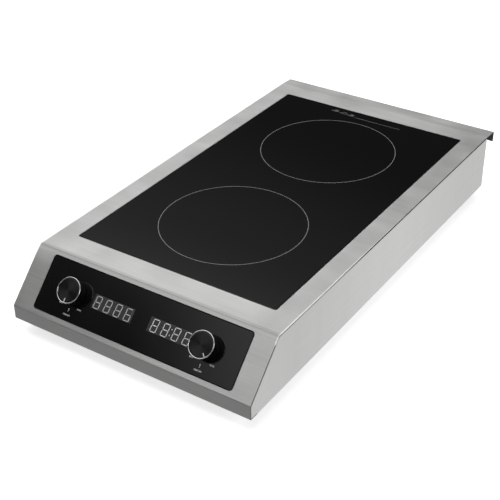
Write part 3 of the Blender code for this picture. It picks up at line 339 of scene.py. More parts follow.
def cover_painted_light(finish):
    """Painted light and shade on the cover: painted shade along the front fold and its first bend, a
    painted highlight at the rear fold, painted shade inside the rear lip, to the right, at the deck's front
    left and on the slope's left, and a painted bright or dark line along the side and cut edges."""
    x, y, z = (finish.axis(letter) for letter in "XYZ")
    # painted shade along the front fold's bend and just behind it on the deck
    bend = finish.product(
        finish.spread(y, 1.0, 0.63, CREASE_Y - 5.8 * MM, CREASE_Y - 4.2 * MM),
        finish.spread(y, 1.0, 0.74, CREASE_Y - 2.4 * MM, CREASE_Y - 0.8 * MM),
    )
    before_fold = finish.spread(y, 0.64, 1.0, CREASE_Y, CREASE_Y + 4.5 * MM)
    on_deck = finish.spread(y, 0.0, 1.0, CREASE_Y - 0.3 * MM, CREASE_Y + 0.1 * MM)
    front_fold = finish.blend(on_deck, bend, before_fold)
    # painted highlight before the rear fold and painted shade after it
    rear_fold = finish.product(
        finish.spread(y, 1.0, 1.07, WALL_Y - 5 * MM, WALL_Y - 1 * MM),
        finish.spread(y, 1.0, 0.93, WALL_Y, WALL_Y + 1.2 * MM),
    )
    # painted shade inside the rear lip, where it is recessed
    in_lip = finish.product(
        finish.spread(y, 0.0, 1.0, WALL_Y + 2 * MM, WALL_Y + 3 * MM),
        finish.spread(z, 1.0, 0.0, DECK_TOP - 3.6 * MM, DECK_TOP - 2.8 * MM),
        finish.spread(y, 1.0, 0.0, REAR_Y - 0.9 * MM, REAR_Y - 0.5 * MM),
    )
    lip = finish.math("SUBTRACT", 1.0, finish.math("MULTIPLY", in_lip, 0.75))
    # painted shade: darker to the right, at the deck's front left and on the slope's left
    deck_right = finish.product(
        finish.math("ADD", finish.spread(x, 0.0, 0.05, -60 * MM, 100 * MM),
                    finish.spread(x, 0.0, 0.12, 130 * MM, 160 * MM)),
        finish.spread(y, 0.0, 1.0, CREASE_Y - 1 * MM, CREASE_Y + 1 * MM),
    )
    rear_right = finish.product(
        finish.spread(x, 0.0, 0.06, 20 * MM, 170 * MM),
        finish.spread(y, 0.0, 1.0, -50 * MM, 250 * MM),
    )
    slope_left = finish.product(
        finish.spread(x, 0.28, 0.0, -165 * MM, 60 * MM),
        finish.spread(y, 1.0, 0.0, CREASE_Y - 18 * MM, CREASE_Y - 8 * MM),
        finish.spread(z, 0.0, 1.0, LIP_TOP - 0.6 * MM, LIP_TOP + 1 * MM),
    )
    deck_left = finish.product(
        finish.spread(x, 0.10, 0.0, -168 * MM, -135 * MM),
        finish.spread(y, 1.0, 0.0, -180 * MM, -20 * MM),
        on_deck,
    )
    painted_shade_right = finish.math("ADD", rear_right, deck_right)
    painted_shade_left = finish.math("ADD", slope_left, deck_left)
    painted_shade_sum = finish.math("ADD", painted_shade_right, painted_shade_left)
    painted_shade_factor = finish.math("SUBTRACT", 1.0, painted_shade_sum)
    aside = finish.math("ABSOLUTE", x, 0.0)
    # painted highlight along the front part of the side edges, and painted dark lines on the cut edges of the
    # slope and the deck's rear
    strip = finish.product(
        finish.spread(aside, 0.0, 0.62, HALF_WIDTH - 1.3 * MM, HALF_WIDTH - 1.2 * MM),
        finish.spread(y, 0.0, 1.0, CREASE_Y - 10 * MM, CREASE_Y - 8 * MM),
        finish.spread(y, 1.0, 0.0, CREASE_Y + 170 * MM, CREASE_Y + 320 * MM),
    )
    cut = finish.product(
        finish.spread(aside, 0.0, 1.0, HALF_WIDTH - 0.06 * MM, HALF_WIDTH - 0.03 * MM),
        finish.math("ADD", finish.spread(y, 0.8, 0.0, CREASE_Y - 10 * MM, CREASE_Y - 8 * MM),
                    finish.spread(y, 0.0, 1.3, CREASE_Y + 100 * MM, CREASE_Y + 200 * MM)),
    )
    edge = finish.math("MAXIMUM", finish.math("SUBTRACT", finish.math("ADD", strip, 1.0), cut), 0.12)
    return finish.product(front_fold, rear_fold, lip, painted_shade_factor, edge)


def tray_painted_light(finish):
    """Painted light: a little lighter half-way along the tray's sides."""
    y = finish.axis("Y")
    return finish.product(finish.spread(y, 0.98, 1.12, -220 * MM, -20 * MM),
                          finish.spread(y, 1.0, 0.90, 40 * MM, 230 * MM))


def moulded(name, colour, roughness, grain=2500, depth=0.012, specular=0.5):
    """Moulded plastic or rubber with a fine spark-eroded grain."""
    finish = Finish(name, colour, roughness, specular=specular)
    fine = finish.noise(grain, 2)
    broad = finish.noise(60, 3)
    finish.colour(finish.mix(finish.spread(broad, 0, 1), *tones(colour, 0.8, 1.2)))
    finish.rough(finish.spread(fine, roughness - 0.06, roughness + 0.06))
    return finish.bump(fine, depth * MM).material


def polished(name, colour, roughness, smears=0.02, specular=0.5, coat=0.0):
    """Smooth glass, gloss plastic or print, with faint smears that only the gloss shows."""
    finish = Finish(name, colour, roughness, specular=specular).set(Coat_Weight=coat, Coat_Roughness=0.03)
    smear = finish.noise(18, 5, (1, 0.6, 1), (0, 0, 0.5))
    finish.rough(finish.spread(smear, roughness, roughness + smears))
    speck = finish.noise(1400, 1)
    finish.colour(finish.mix(finish.spread(speck, 0, 1), *tones(colour, 0.85, 1.15)))
    return finish.material


def window(name, colour):
    """Smoked display window with a hazy face; at its outer end on the left its colour is darkened by painted shade
    and its face is glossier.
    """
    finish = Finish(name, colour, 0.42, specular=0.8)
    # painted shadow of the knob over the window's left end
    clear = finish.spread(finish.axis("X"), 0.0, 1.0, -72 * MM, -67.5 * MM)
    speck = finish.noise(1400, 1)
    tint = finish.mix(finish.spread(speck, 0, 1), *tones(colour, 0.85, 1.15))
    finish.colour(finish.times(tint, finish.spread(clear, 0.2, 1.0, 0.0, 1.0)))
    return finish.rough(finish.spread(clear, 0.09, 0.42, 0.0, 1.0)).material


def plated(name, colour, roughness, depth=0.002):
    """Bare or plated metal with a faint waviness."""
    finish = Finish(name, colour, roughness, metallic=1.0)
    wave = finish.noise(220, 3)
    finish.rough(finish.spread(wave, roughness * 0.8, roughness * 1.25))
    finish.colour(finish.mix(finish.spread(wave, 0, 1), *tones(colour, 0.94, 1.02)))
    return finish.bump(wave, depth * MM).material


def spun_cap(name, colour):
    """Black anodised cap with the fine circles of spinning, so its gloss lies in wedges."""
    finish = Finish(name, colour, 0.34, metallic=1.0)
    fine = finish.noise(3000, 2)
    finish.rough(finish.spread(fine, 0.30, 0.38))
    finish.colour(finish.mix(finish.spread(fine, 0, 1), *tones(colour, 0.85, 1.15)))
    return finish.set(Anisotropic=0.85, Anisotropic_Rotation=0.25).spun().material


def laminate(name, colour):
    """Circuit board: green solder mask over the weave of its glass cloth."""
    finish = Finish(name, colour, 0.38)
    weave = finish.math("MULTIPLY", finish.noise(700, 0, (1, 0.1, 1)), finish.noise(700, 0, (0.1, 1, 1)))
    finish.colour(finish.mix(finish.spread(weave, 0, 1, 0.1, 0.4), *tones(colour, 0.7, 1.3)))
    return finish.bump(weave, 0.01 * MM).material


def flaky(name, colour):
    """Mica sheet: pressed flakes of different tone."""
    finish = Finish(name, colour, 0.35)
    flakes = finish.nodes.new("ShaderNodeTexVoronoi")
    flakes.inputs["Scale"].default_value = 160
    finish.links.new(finish.place, flakes.inputs["Vector"])
    finish.colour(finish.mix(flakes.outputs["Distance"], *tones(colour, 0.7, 1.2)))
    return finish.bump(flakes.outputs["Distance"], 0.03 * MM).material


def wound(name, colour):
    """Enamelled copper strands that run with the winding."""
    finish = Finish(name, colour, 0.35, metallic=1.0)
    strands = finish.noise(1500, 2)
    finish.colour(finish.mix(finish.spread(strands, 0, 1), *tones(colour, 0.6, 1.1)))
    return finish.bump(strands, 0.05 * MM).material


STEEL = (0.63, 0.63, 0.62)
MATERIALS = {
    "brushed_steel": brushed("brushed_steel", STEEL, 0.40, (1, 0.01, 0.02), (0.012, 1, 1),
                             (0.6, 1, 1), cover_painted_light),
    "zinc_steel": plated("zinc_steel", (0.48, 0.49, 0.50), 0.42),
    "black_glass": polished("black_glass", (0.0016, 0.0016, 0.0017), 0.02, specular=0.5),
    "panel_black": polished("panel_black", (0.0030, 0.0030, 0.0032), 0.09, smears=0.04),
    "smoked_window": window("smoked_window", (0.012, 0.012, 0.0125)),
    "silicone": moulded("silicone", (0.008, 0.008, 0.008), 0.6),
    "black_plastic": moulded("black_plastic", (0.002, 0.002, 0.0021), 0.34, specular=0.22),
    "chrome": plated("chrome", (0.66, 0.66, 0.67), 0.20, 0.0005),
    "spun_black": spun_cap("spun_black", (0.035, 0.035, 0.037)),
    "white_print": polished("white_print", (0.80, 0.80, 0.80), 0.4),
    "copper": wound("copper", (0.72, 0.36, 0.18)),
    "heat_plastic": moulded("heat_plastic", (0.10, 0.10, 0.11), 0.55),
    "ferrite": moulded("ferrite", (0.05, 0.05, 0.055), 0.5, 900, 0.02),
    "mica": flaky("mica", (0.62, 0.56, 0.42)),
    "circuit_green": laminate("circuit_green", (0.03, 0.16, 0.07)),
    "aluminium": plated("aluminium", (0.74, 0.75, 0.76), 0.33),
    "rubber": moulded("rubber", (0.018, 0.018, 0.018), 0.75, 1800, 0.03),
    "capacitor_film": moulded("capacitor_film", (0.70, 0.50, 0.10), 0.4),
}
TRAY_SIDES = brushed("brushed_tray", STEEL, 0.40, (0.01, 1, 0.02), (1, 0.012, 1),
                     (1, 1, 0.12), tray_painted_light)
RING_PRINT = polished("ring_print", (0.25, 0.25, 0.25), 0.3)
SEGMENT = polished("display_segment", (0.50, 0.50, 0.50), 0.3, coat=0.3)
BRIGHT_SEGMENT = polished("display_bright_segment", (0.68, 0.68, 0.68), 0.3, coat=0.3)
DIM_SEGMENT = polished("display_dim_segment", (0.09, 0.09, 0.09), 0.3, coat=0.3)
# black for the painted shade in the side gaps and for the band round the panel
SEAM_BLACK = moulded("seam_black", (0.003, 0.003, 0.003), 0.9, specular=0.1)


def finish_nodes():
    """Gives every CAD node the material of its slot in the record."""
    for row in frame["record"]["subparts"]:
        mesh = frame["nodes"][row["node"]].data
        mesh.materials.clear()
        mesh.materials.append(MATERIALS[row["material_slot"]])


# ---------------------------------------------------------------- knobs

KNOB_RIBS = 72
RIB_DEPTH = 0.25 * MM
KNOB_TAPER = 0.35 * MM
RING_SIDES = 128
CAP_SIDES = 96
CAP_DISH = 0.15 * MM
POINTER_WIDTH = 0.9 * MM
POINTER_LENGTH = 4.9 * MM


def knob_sizes(side):
    """Radii and heights of a knob's pieces over the panel, read from its CAD nodes."""
    def extent(node):
        local = slope_points(node, SIDES[side] * KNOB_X)
        return np.hypot(local[:, 0], local[:, 1]).max(), local[:, 2].min(), local[:, 2].max()
    return {piece: extent(f"{piece}_{side}") for piece in ("knob", "knob_ring", "knob_cap")}


def add_spin(piece, centre, axis):
    """Stores at each point the way of the circle round the axis."""
    points = np.empty(len(piece.data.vertices) * 3)
    piece.data.vertices.foreach_get("co", points)
    out = points.reshape(-1, 3) - np.array(centre)
    way = np.cross(np.array(axis), out)
    way /= np.maximum(np.linalg.norm(way, axis=1, keepdims=True), 1e-9)
    spin = piece.data.attributes.new("spin", "FLOAT_VECTOR", "POINT")
    spin.data.foreach_set("vector", way.ravel())


def make_knob(side, pointer_turn):
    """Ribbed body, bright ring, spun cap and pointer, round the knob's joint. Body, ring and cap are
    turned profiles. The cap's height rises with the square of the radius."""
    sizes = knob_sizes(side)
    body = f"{side}_knob"
    centre = SIDES[side] * KNOB_X

    def place(points):
        return on_slope(points, x=centre)

    radius, low, high = sizes["knob"]
    waist = radius - KNOB_TAPER
    rib_top = high - 0.4 * MM
    profile = filleted([
        (0, high), (radius - 0.4 * MM, high), (radius, high - 0.5 * MM), (waist, low + 0.6 * MM),
        (waist - 0.6 * MM, low), (8 * MM, low), (8 * MM, low + 2 * MM), (0, low + 2 * MM),
    ], 0.3 * MM)

    def ribbed(rows):
        return ((rows[:, 0] > waist - 0.1 * MM) & (rows[:, 1] < rib_top)).astype(float)

    add_turned(f"knob_body_{side}", profile, 4 * KNOB_RIBS, place, MATERIALS["black_plastic"],
               "black_plastic", body=body, replaces=[f"knob_{side}"],
               ribs=KNOB_RIBS, rib_depth=RIB_DEPTH, rib_rows=ribbed)

    radius, low, high = sizes["knob_ring"]
    inner = sizes["knob_cap"][0] + 0.15 * MM
    loop = filleted([
        ((inner + radius) / 2, low), (radius, low), (radius, high), (inner, high),
        (inner, low), ((inner + radius) / 2, low),
    ], 0.55 * MM)
    add_turned(f"knob_rim_{side}", loop, RING_SIDES, place, MATERIALS["chrome"], "chrome",
               closed=True, body=body, replaces=[f"knob_ring_{side}"])

    radius, low, high = sizes["knob_cap"]
    steps = np.linspace(0, 1, 12)
    face = np.stack([radius * 0.97 * steps, high - CAP_DISH * (1 - steps ** 2)], axis=1)
    profile = np.vstack([face, [(radius, high - 0.15 * MM), (radius, low), (0, low)]])
    cap = add_turned(f"knob_face_{side}", profile, CAP_SIDES, place, MATERIALS["spun_black"], "spun_black",
                     body=body, replaces=[f"knob_cap_{side}"])
    add_spin(cap, on_slope((0, 0, 0), x=centre), SLOPE_OUT)

    tip = radius - 0.3 * MM
    root = tip - POINTER_LENGTH
    way = np.array([math.sin(pointer_turn), -math.cos(pointer_turn)])
    line = strokes([way * root], [way * tip], POINTER_WIDTH)
    points, faces = slabs(line, high - 0.4 * MM, high + 0.05 * MM)
    add_piece(f"knob_mark_{side}", place(points), faces, MATERIALS["white_print"], "white_print",
              body=body, replaces=[f"pointer_{side}"])


# ---------------------------------------------------------------- panel print and displays

DIGIT_WIDTH = 9.0 * MM
DIGIT_HEIGHT = 16.4 * MM
DIGIT_PITCH = 15.7 * MM
DIGIT_SLANT = math.tan(math.radians(4))
SEGMENT_WIDTH = 1.05 * MM
SEGMENT_GAP = 0.25 * MM
SEGMENTS_PER_DIGIT = 7
UPPER_RIGHT = 1              # a digit's segment, counted clockwise from the top


def digit_segments(x):
    """Seven bars with pointed ends round an upper and a lower square, leaning to the right: each bar
    is a line with its width, and its ends come to a point on the line."""
    w, h = (DIGIT_WIDTH - SEGMENT_WIDTH) / 2, (DIGIT_HEIGHT - SEGMENT_WIDTH) / 2
    starts = np.array([(-w, h), (w, h), (w, 0), (-w, -h), (-w, 0), (-w, h), (-w, 0)])
    ends = np.array([(w, h), (w, 0), (w, -h), (w, -h), (-w, -h), (-w, 0), (w, 0)])
    way = (ends - starts) / np.linalg.norm(ends - starts, axis=1, keepdims=True)
    across = np.stack([-way[:, 1], way[:, 0]], axis=1) * SEGMENT_WIDTH / 2
    start, end = starts + way * SEGMENT_GAP, ends - way * SEGMENT_GAP
    deep = way * SEGMENT_WIDTH / 2
    outline = np.stack([start, start + deep - across, end - deep - across,
                        end, end - deep + across, start + deep + across], axis=1)
    outline[..., 0] += outline[..., 1] * DIGIT_SLANT + x
    return outline


def dot(x, y, radius=0.75 * MM, sides=10):
    """A round dot's outline, placed on the digits' lean."""
    angle = np.linspace(0, math.tau, sides, endpoint=False)
    return np.stack([x + y * DIGIT_SLANT + radius * np.cos(angle), y + radius * np.sin(angle)], axis=1)


def make_display(side, first_digit, digit_middle, segment_finish, colon_finish, dim=()):
    """Four digits, a colon in their middle and small dots near their tops, on the window's face. The
    segments are numbered from the left digit on, and those in dim are drawn dark."""
    places = first_digit + DIGIT_PITCH * np.arange(4)
    segments = np.concatenate([digit_segments(x) for x in places])
    plain_segments = np.delete(segments, dim, axis=0)
    points, faces = slabs(plain_segments, 0, PRINT)
    add_piece(f"digits_{side}", on_slope(points, y=digit_middle), faces, segment_finish, "smoked_window",
              smooth=False)
    if dim:
        points, faces = slabs(segments[list(dim)], 0, PRINT)
        add_piece(f"dark_segments_{side}", on_slope(points, y=digit_middle), faces, DIM_SEGMENT,
                  "smoked_window", smooth=False)
    colon = places[1] + DIGIT_PITCH / 2
    dots = np.array([dot(colon, 3.6 * MM), dot(colon, -3.9 * MM)])
    points, faces = slabs(dots, 0, PRINT)
    add_piece(f"colon_{side}", on_slope(points, y=digit_middle), faces, colon_finish, "smoked_window",
              smooth=False)
    top = DIGIT_HEIGHT / 2 - 0.6 * MM
    dots = np.array([dot(x + DIGIT_PITCH / 2, top, 0.5 * MM) for x in places[:3]])
    points, faces = slabs(dots, 0, PRINT)
    add_piece(f"small_dots_{side}", on_slope(points, y=digit_middle), faces, DIM_SEGMENT,
              "smoked_window", smooth=False)


WORD_HEIGHT = 2.1 * MM
CAPITAL_SHARE = 0.7          # a capital's height as a share of the font's size
WORD_SWELL = 0.03 * MM       # makes the letters a little bolder
ARROW_SHIFT = 0.9 * MM
ARROW_LENGTH = 4.9 * MM
ARROW_HEAD = 1.9 * MM
ARROW_LINE = 0.6 * MM


def make_word(name, text, x, y):
    """A printed word, centred on (x, y) of the slope."""
    curve = bpy.data.curves.new(name, "FONT")
    curve.body = text
    curve.align_x, curve.align_y = "CENTER", "CENTER"
    curve.size = WORD_HEIGHT / CAPITAL_SHARE
    curve.extrude = PRINT / 2
    curve.offset = WORD_SWELL
    drawn = bpy.data.objects.new(f"{name}_drawn", curve)
    bpy.context.scene.collection.objects.link(drawn)
    bpy.context.view_layer.update()
    mesh = bpy.data.meshes.new_from_object(drawn.evaluated_get(bpy.context.evaluated_depsgraph_get()))
    points = np.empty(len(mesh.vertices) * 3)
    mesh.vertices.foreach_get("co", points)
    faces = [list(face.vertices) for face in mesh.polygons]
    bpy.data.objects.remove(drawn)
    add_piece(name, on_slope(points.reshape(-1, 3), x, y, PRINT / 2), faces,
              MATERIALS["white_print"], "white_print", smooth=False)


def make_scale(side, words, tail):
    """The words under a knob, and the arrow whose tail is at a height on the slope."""
    for label, text, x, y in words:
        make_word(f"word_{label}_{side}", text, SIDES[side] * KNOB_X + x, y)
    x = SIDES[side] * KNOB_X + ARROW_SHIFT
    tip = tail + ARROW_LENGTH
    half = ARROW_HEAD / 2
    stem = strokes([(x, tail)], [(x, tip - half)], ARROW_LINE)
    barb = np.array([[(x - half, tip - ARROW_HEAD), (x + half, tip - ARROW_HEAD), (x, tip)]])
    points, faces = slabs(stem, 0, PRINT)
    more_points, more_faces = slabs(barb, 0, PRINT)
    faces += [[i + len(points) for i in face] for face in more_faces]
    add_piece(f"arrow_{side}", on_slope(np.vstack([points, more_points])), faces,
              MATERIALS["white_print"], "white_print", smooth=False)


# ---------------------------------------------------------------- glass, its print and the seals

GLASS_CORNER = 1.5 * MM
GLASS_CHAMFER = 0.4 * MM
ZONE_RADIUS = 98.3 * MM
ZONE_LINE = 0.85 * MM
ZONE_SIDES = 256
MARK_LINE = 0.65 * MM
MARK_HALF = 2.8 * MM
DASH_LENGTH = 5.2 * MM
PANEL_CORNER = 4 * MM


def rounded_outline(half_width, low, high, radius, steps=6):
    """Quarter circles of one radius in the four corners of a rectangle, joined up."""
    turn = np.linspace(0, math.pi / 2, steps + 1)
    corners = [(half_width, high, 0), (-half_width, high, 1), (-half_width, low, 2), (half_width, low, 3)]
    arcs = []
    for x, y, quarter in corners:
        angle = turn + quarter * math.pi / 2
        inward = np.array([-math.copysign(radius, x), radius if y == low else -radius])
        arcs.append(np.stack([radius * np.cos(angle), radius * np.sin(angle)], axis=1) + (x, y) + inward)
    return np.concatenate(arcs)


def outline_loops(half_width, low, high, radius, levels):
    """For each (margin, height) of the levels, the rounded outline grown by the margin."""
    loops = []
    for margin, z in levels:
        outline = rounded_outline(half_width + margin, low - margin, high + margin, radius + margin)
        loops.append(np.column_stack([outline, np.full(len(outline), z)]))
    return np.stack(loops)


def make_glass():
    """Ceramic glass plate: its outline carried up the edge, in over a small ground chamfer and closed
    off at the top and bottom. Its face lies lower than the deck by the print's thickness."""
    low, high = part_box("glass_plate")
    levels = ((0, low.z), (0, GLASS_TOP - GLASS_CHAMFER), (-GLASS_CHAMFER, GLASS_TOP))
    grid = outline_loops(high.x, low.y, high.y, GLASS_CORNER, levels)
    index = np.arange(grid.shape[0] * grid.shape[1]).reshape(grid.shape[:2])
    faces = grid_faces(*grid.shape[:2]).tolist() + index[[0, -1]].tolist()
    add_piece("glass_face", grid.reshape(-1, 3), faces, MATERIALS["black_glass"], "black_glass",
              replaces=["glass_plate"])


def make_rings():
    """One thin ring for each cooking zone."""
    for end, centre in ZONES.items():
        points = ring_points(ZONE_RADIUS, ZONE_LINE, PRINT, ZONE_SIDES, (0, centre.y, GLASS_TOP))
        faces = grid_faces(4, ZONE_SIDES, close_rows=True).tolist()
        add_piece(f"zone_ring_{end}", points, faces, RING_PRINT, "white_print")


def make_rear_marks():
    """Three plain framed marks with a bar before each, and a dashed line, near the plate's rear edge."""
    outlines = []
    for x, y in ((-54 * MM, 266.5 * MM), (-39.5 * MM, 265.3 * MM), (-26 * MM, 264.3 * MM)):
        frame_corners = np.array([(-1, -1), (1, -1), (1, 1), (-1, 1)]) * MARK_HALF + (x, y)
        outlines.append(strokes(frame_corners, np.roll(frame_corners, -1, axis=0), MARK_LINE))
        outlines.append(strokes([(x - 8 * MM, y - 2.2 * MM)], [(x - 4 * MM, y - 1.2 * MM)], 1.2 * MM))
    outlines.append(strokes([(-56 * MM, 266.5 * MM)], [(-52 * MM, 266.5 * MM)], 1.8 * MM))
    outlines.append(strokes([(-27.4 * MM, 264.3 * MM)], [(-24.6 * MM, 264.3 * MM)], 2.4 * MM))
    dashes = np.arange(-19, 55, 6) * MM
    starts = np.stack([dashes, np.full_like(dashes, 260.2 * MM)], axis=1)
    outlines.append(strokes(starts, starts + (DASH_LENGTH, 0), MARK_LINE))
    points, faces = slabs(np.concatenate(outlines), GLASS_TOP, DECK_TOP)
    add_piece("rear_marks", points, faces, RING_PRINT, "white_print", smooth=False)


def make_panel_edge():
    """A thin black strip over the joint round the panel: a flat band between two rounded rectangles."""
    local = slope_points("control_panel")
    half_width, low, high = local[:, 0].max(), local[:, 1].min(), local[:, 1].max()
    outside, inside = 0.05 * MM, -0.95 * MM
    levels = ((outside, 0), (outside, PRINT), (inside, PRINT), (inside, 0))
    grid = outline_loops(half_width, low, high, PANEL_CORNER, levels)
    faces = grid_faces(*grid.shape[:2], close_rows=True).tolist()
    add_piece("panel_edge", on_slope(grid.reshape(-1, 3)), faces, SEAM_BLACK, "silicone")


def make_seams():
    """Painted shade: black strips in the gap between the cover and the tray's sides, along deck and slope, stand
    in for the shadow in that gap.
    """
    under, over = -2.35 * MM, -1.25 * MM
    for side, sign in SIDES.items():
        inner, outer = sign * (HALF_WIDTH - 2.6 * MM), sign * (HALF_WIDTH - 0.3 * MM)
        ends = (CREASE_Y + 70 * MM, WALL_Y)
        outline = [[(inner, ends[0]), (outer, ends[0]), (outer, ends[1]), (inner, ends[1])]]
        points, faces = slabs(outline, DECK_TOP + under, DECK_TOP + over)
        add_piece(f"deck_gap_shade_{side}", points, faces, SEAM_BLACK, "silicone", smooth=False)
        outline = [[(inner, -41 * MM), (outer, -41 * MM), (outer, 31 * MM), (inner, 31 * MM)]]
        points, faces = slabs(outline, under, over)
        add_piece(f"slope_gap_shade_{side}", on_slope(points), faces, SEAM_BLACK, "silicone", smooth=False)


# ---------------------------------------------------------------- feet and glands

def make_feet():
    """Rubber feet: a turned profile of a tapered pad with a grooved tread and a sunk middle."""
    for end in ("front", "rear"):
        for side in SIDES:
            node = f"foot_{end}_{side}"
            low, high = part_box(node)
            centre = np.array([(low.x + high.x) / 2, (low.y + high.y) / 2, 0])
            radius = (high.x - low.x) / 2
            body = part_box("base_tray")[0].z - 0.3 * MM
            profile = filleted([
                (0, 4 * MM), (5 * MM, 4 * MM), (5 * MM, 0), (8.5 * MM, 0), (8.7 * MM, 0.8 * MM),
                (9.8 * MM, 0.8 * MM), (10 * MM, 0), (radius - 1 * MM, 0), (radius, 1.2 * MM),
                (radius - 1.5 * MM, body), (0, body),
            ], 0.7 * MM, 3)
            add_turned(f"pad_{end}_{side}", profile, 64, lambda p: p + centre, MATERIALS["rubber"],
                       "rubber", replaces=[node])


def make_glands():
    """Cable glands: a turned profile of a flange, a ribbed dome nut and the open bore."""
    turn = np.array([(1, 0, 0), (0, 0, -1), (0, 1, 0)])

    def ribbed(rows):
        on_nut = (rows[:, 0] > 9.6 * MM) & (rows[:, 0] < 10.2 * MM) & (rows[:, 1] > 6 * MM)
        return on_nut.astype(float)

    for side in SIDES:
        node = f"cable_gland_{side}"
        low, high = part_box(node)
        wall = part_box("base_tray")[1].y
        centre = np.array([(low.x + high.x) / 2, wall, (low.z + high.z) / 2])
        front, back = low.y - wall, high.y - wall
        bore, thread, flange, cap = 4.6 * MM, 7.7 * MM, 11.4 * MM, 10 * MM
        profile = filleted([
            (bore, front), (thread, front), (thread, 0.3 * MM), (flange, 0.3 * MM),
            (flange, 5 * MM), (cap, 5.4 * MM), (cap, 13.5 * MM), (7.4 * MM, back - 0.5 * MM),
            (6.4 * MM, back), (bore, back), (bore, (front + back) / 2), (bore, front),
        ], 0.6 * MM, 3)
        add_turned(f"gland_{side}", profile, 96, lambda p: p @ turn + centre, MATERIALS["black_plastic"],
                   "black_plastic", closed=True, replaces=[node],
                   ribs=24, rib_depth=0.6 * MM, rib_rows=ribbed)


# ---------------------------------------------------------------- camera and light

def make_camera():
    """Camera on a tall stand in front and to the right, tipped by half a degree."""
    camera = bpy.data.objects.new("camera", bpy.data.cameras.new("camera"))
    bpy.context.scene.collection.objects.link(camera)
    turn, fall, roll = math.radians(33.806), math.radians(32.773), math.radians(-0.540)
    rotation = (Matrix.Rotation(turn, 4, "Z") @ Matrix.Rotation(math.pi / 2 - fall, 4, "X")
                @ Matrix.Rotation(roll, 4, "Z"))
    camera.matrix_world = Matrix.Translation((0.7071, -1.1182, 0.8558)) @ rotation
    camera.data.sensor_width = 36
    camera.data.lens = 79.745
    camera.data.clip_start = 0.05
    camera.data.clip_end = 50
    bpy.context.scene.camera = camera


def make_floor():
    """Pale paper that the object stands on. It glows faintly, as paper lit from below does, and can
    be seen through from underneath."""
    paper = Finish("paper", (0.80, 0.80, 0.80), 0.9)
    paper.rough(paper.spread(paper.noise(40), 0.85, 0.95))
    paper.set(Emission_Color=(1, 1, 1, 1), Emission_Strength=0.60)
    from_below = paper.nodes.new("ShaderNodeMixShader")
    paper.links.new(paper.nodes.new("ShaderNodeNewGeometry").outputs["Backfacing"], from_below.inputs[0])
    paper.links.new(paper.shader.outputs[0], from_below.inputs[1])
    paper.links.new(paper.nodes.new("ShaderNodeBsdfTransparent").outputs[0], from_below.inputs[2])
    paper.links.new(from_below.outputs[0], paper.nodes["Material Output"].inputs["Surface"])
    mesh = bpy.data.meshes.new("floor")
    size = 12.0
    corners = np.array([(-1, -1, 0), (1, -1, 0), (1, 1, 0), (-1, 1, 0)]) * size
    mesh.from_pydata(corners.tolist(), [], [(0, 1, 2, 3)])
    mesh.materials.append(paper.material)
    floor = bpy.data.objects.new("floor", mesh)
    bpy.context.scene.collection.objects.link(floor)
    floor.visible_glossy = False


class Sky:
    """The studio round the object: the light's strength as a function of direction."""

    def __init__(self):
        world = bpy.data.worlds.new("studio")
        bpy.context.scene.world = world
        world.use_nodes = True
        self.nodes = world.node_tree.nodes
        self.links = world.node_tree.links
        self.way = self.nodes.new("ShaderNodeTexCoord").outputs["Generated"]

    def toward(self, direction, start, end, low, high):
        """From low to high as the view turns toward the direction, from cosine start to end."""
        dot_product = self.nodes.new("ShaderNodeVectorMath")
        dot_product.operation = "DOT_PRODUCT"
        self.links.new(self.way, dot_product.inputs[0])
        dot_product.inputs[1].default_value = Vector(direction).normalized()
        ramp = self.nodes.new("ShaderNodeMapRange")
        ramp.interpolation_type = "SMOOTHSTEP"
        for key, number in (("From Min", start), ("From Max", end), ("To Min", low), ("To Max", high)):
            ramp.inputs[key].default_value = number
        self.links.new(dot_product.outputs["Value"], ramp.inputs["Value"])
        return ramp.outputs["Result"]

    def both(self, operation, first, second):
        node = self.nodes.new("ShaderNodeMath")
        node.operation = operation
        self.links.new(first, node.inputs[0])
        self.links.new(second, node.inputs[1])
        return node.outputs["Value"]

    def finish(self, strength):
        """The worked-out strength lights the object, and the backdrop itself is plain white."""
        background = self.nodes["Background"]
        background.inputs["Color"].default_value = (1, 1, 1, 1)
        path = self.nodes.new("ShaderNodeLightPath")
        seen = self.nodes.new("ShaderNodeMix")
        self.links.new(path.outputs["Is Camera Ray"], seen.inputs[0])
        self.links.new(strength, seen.inputs[2])
        seen.inputs[3].default_value = 1.0
        self.links.new(seen.outputs[0], background.inputs["Strength"])


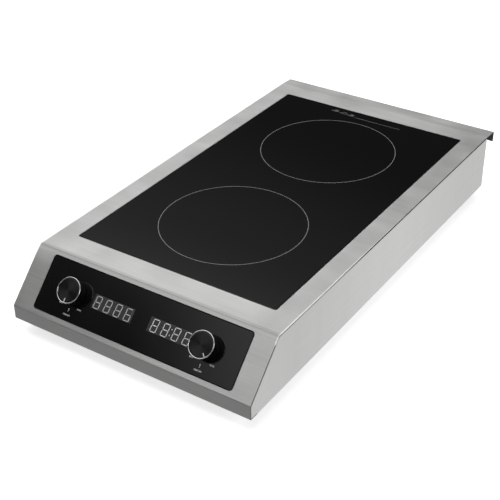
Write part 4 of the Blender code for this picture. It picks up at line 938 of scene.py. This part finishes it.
def make_light():
    """A bright ceiling that fades to a dim horizon and is dimmer in front, a shade in front to the
    left, a soft light in front, a strong one low on the right, and a pale floor that is brighter to the
    right."""
    sky = Sky()
    overhead = (-0.35, 0, 1)
    glow = sky.toward(overhead, 0.56, 0.72, 0.05, 0.25)
    ceiling = sky.toward(overhead, 0.66, 0.90, 0.0, 1.74)
    dim = sky.toward((0, -1, 0), 0.10, 0.45, 1.0, 0.52)
    shade = sky.toward((-0.8, -0.6, 0), 0.74, 0.81, 1.0, 0.25)
    front = sky.toward((-0.30, -0.70, 0.65), 0.972, 0.990, 0.0, 0.42)
    right = sky.toward((1, 0.10, 0.42), 0.93, 0.98, 0.0, 5.0)
    below = sky.toward((0, 0, -1), 0.0, 0.20, 0.0, 1.0)
    floor_side = sky.toward((0.9, 0.4, 0), -0.5, 0.5, 0.30, 0.90)
    light = sky.both("MULTIPLY", sky.both("ADD", glow, ceiling), sky.both("MULTIPLY", shade, dim))
    for more in (front, right, sky.both("MULTIPLY", below, floor_side)):
        light = sky.both("ADD", light, more)
    sky.finish(light)
    bpy.context.scene.view_settings.view_transform = "Standard"


# ---------------------------------------------------------------- the object

finish_nodes()
frame["nodes"]["base_tray"].data.materials.clear()
frame["nodes"]["base_tray"].data.materials.append(TRAY_SIDES)
make_knob("left", 0.0)
make_knob("right", math.radians(40))
make_display("left", -63.2 * MM, -0.35 * MM, SEGMENT, DIM_SEGMENT,
             dim=(3 * SEGMENTS_PER_DIGIT + UPPER_RIGHT,))
make_display("right", 24.6 * MM, -0.25 * MM, BRIGHT_SEGMENT, BRIGHT_SEGMENT)
make_scale("left", [("min", "MIN", -14.2 * MM, -17.0 * MM), ("max", "MAX", 15.6 * MM, -17.8 * MM),
                    ("switch", "ON/OFF", 0.7 * MM, -28.9 * MM)], -24.6 * MM)
make_scale("right", [("min", "MIN", -14.3 * MM, -17.4 * MM), ("max", "MAX", 15.4 * MM, -17.8 * MM),
                     ("switch", "ON/OFF", 0.7 * MM, -29.2 * MM)], -25.4 * MM)
make_glass()
make_rings()
make_rear_marks()
make_panel_edge()
make_seams()
make_feet()
make_glands()

make_camera()
make_floor()
make_light()
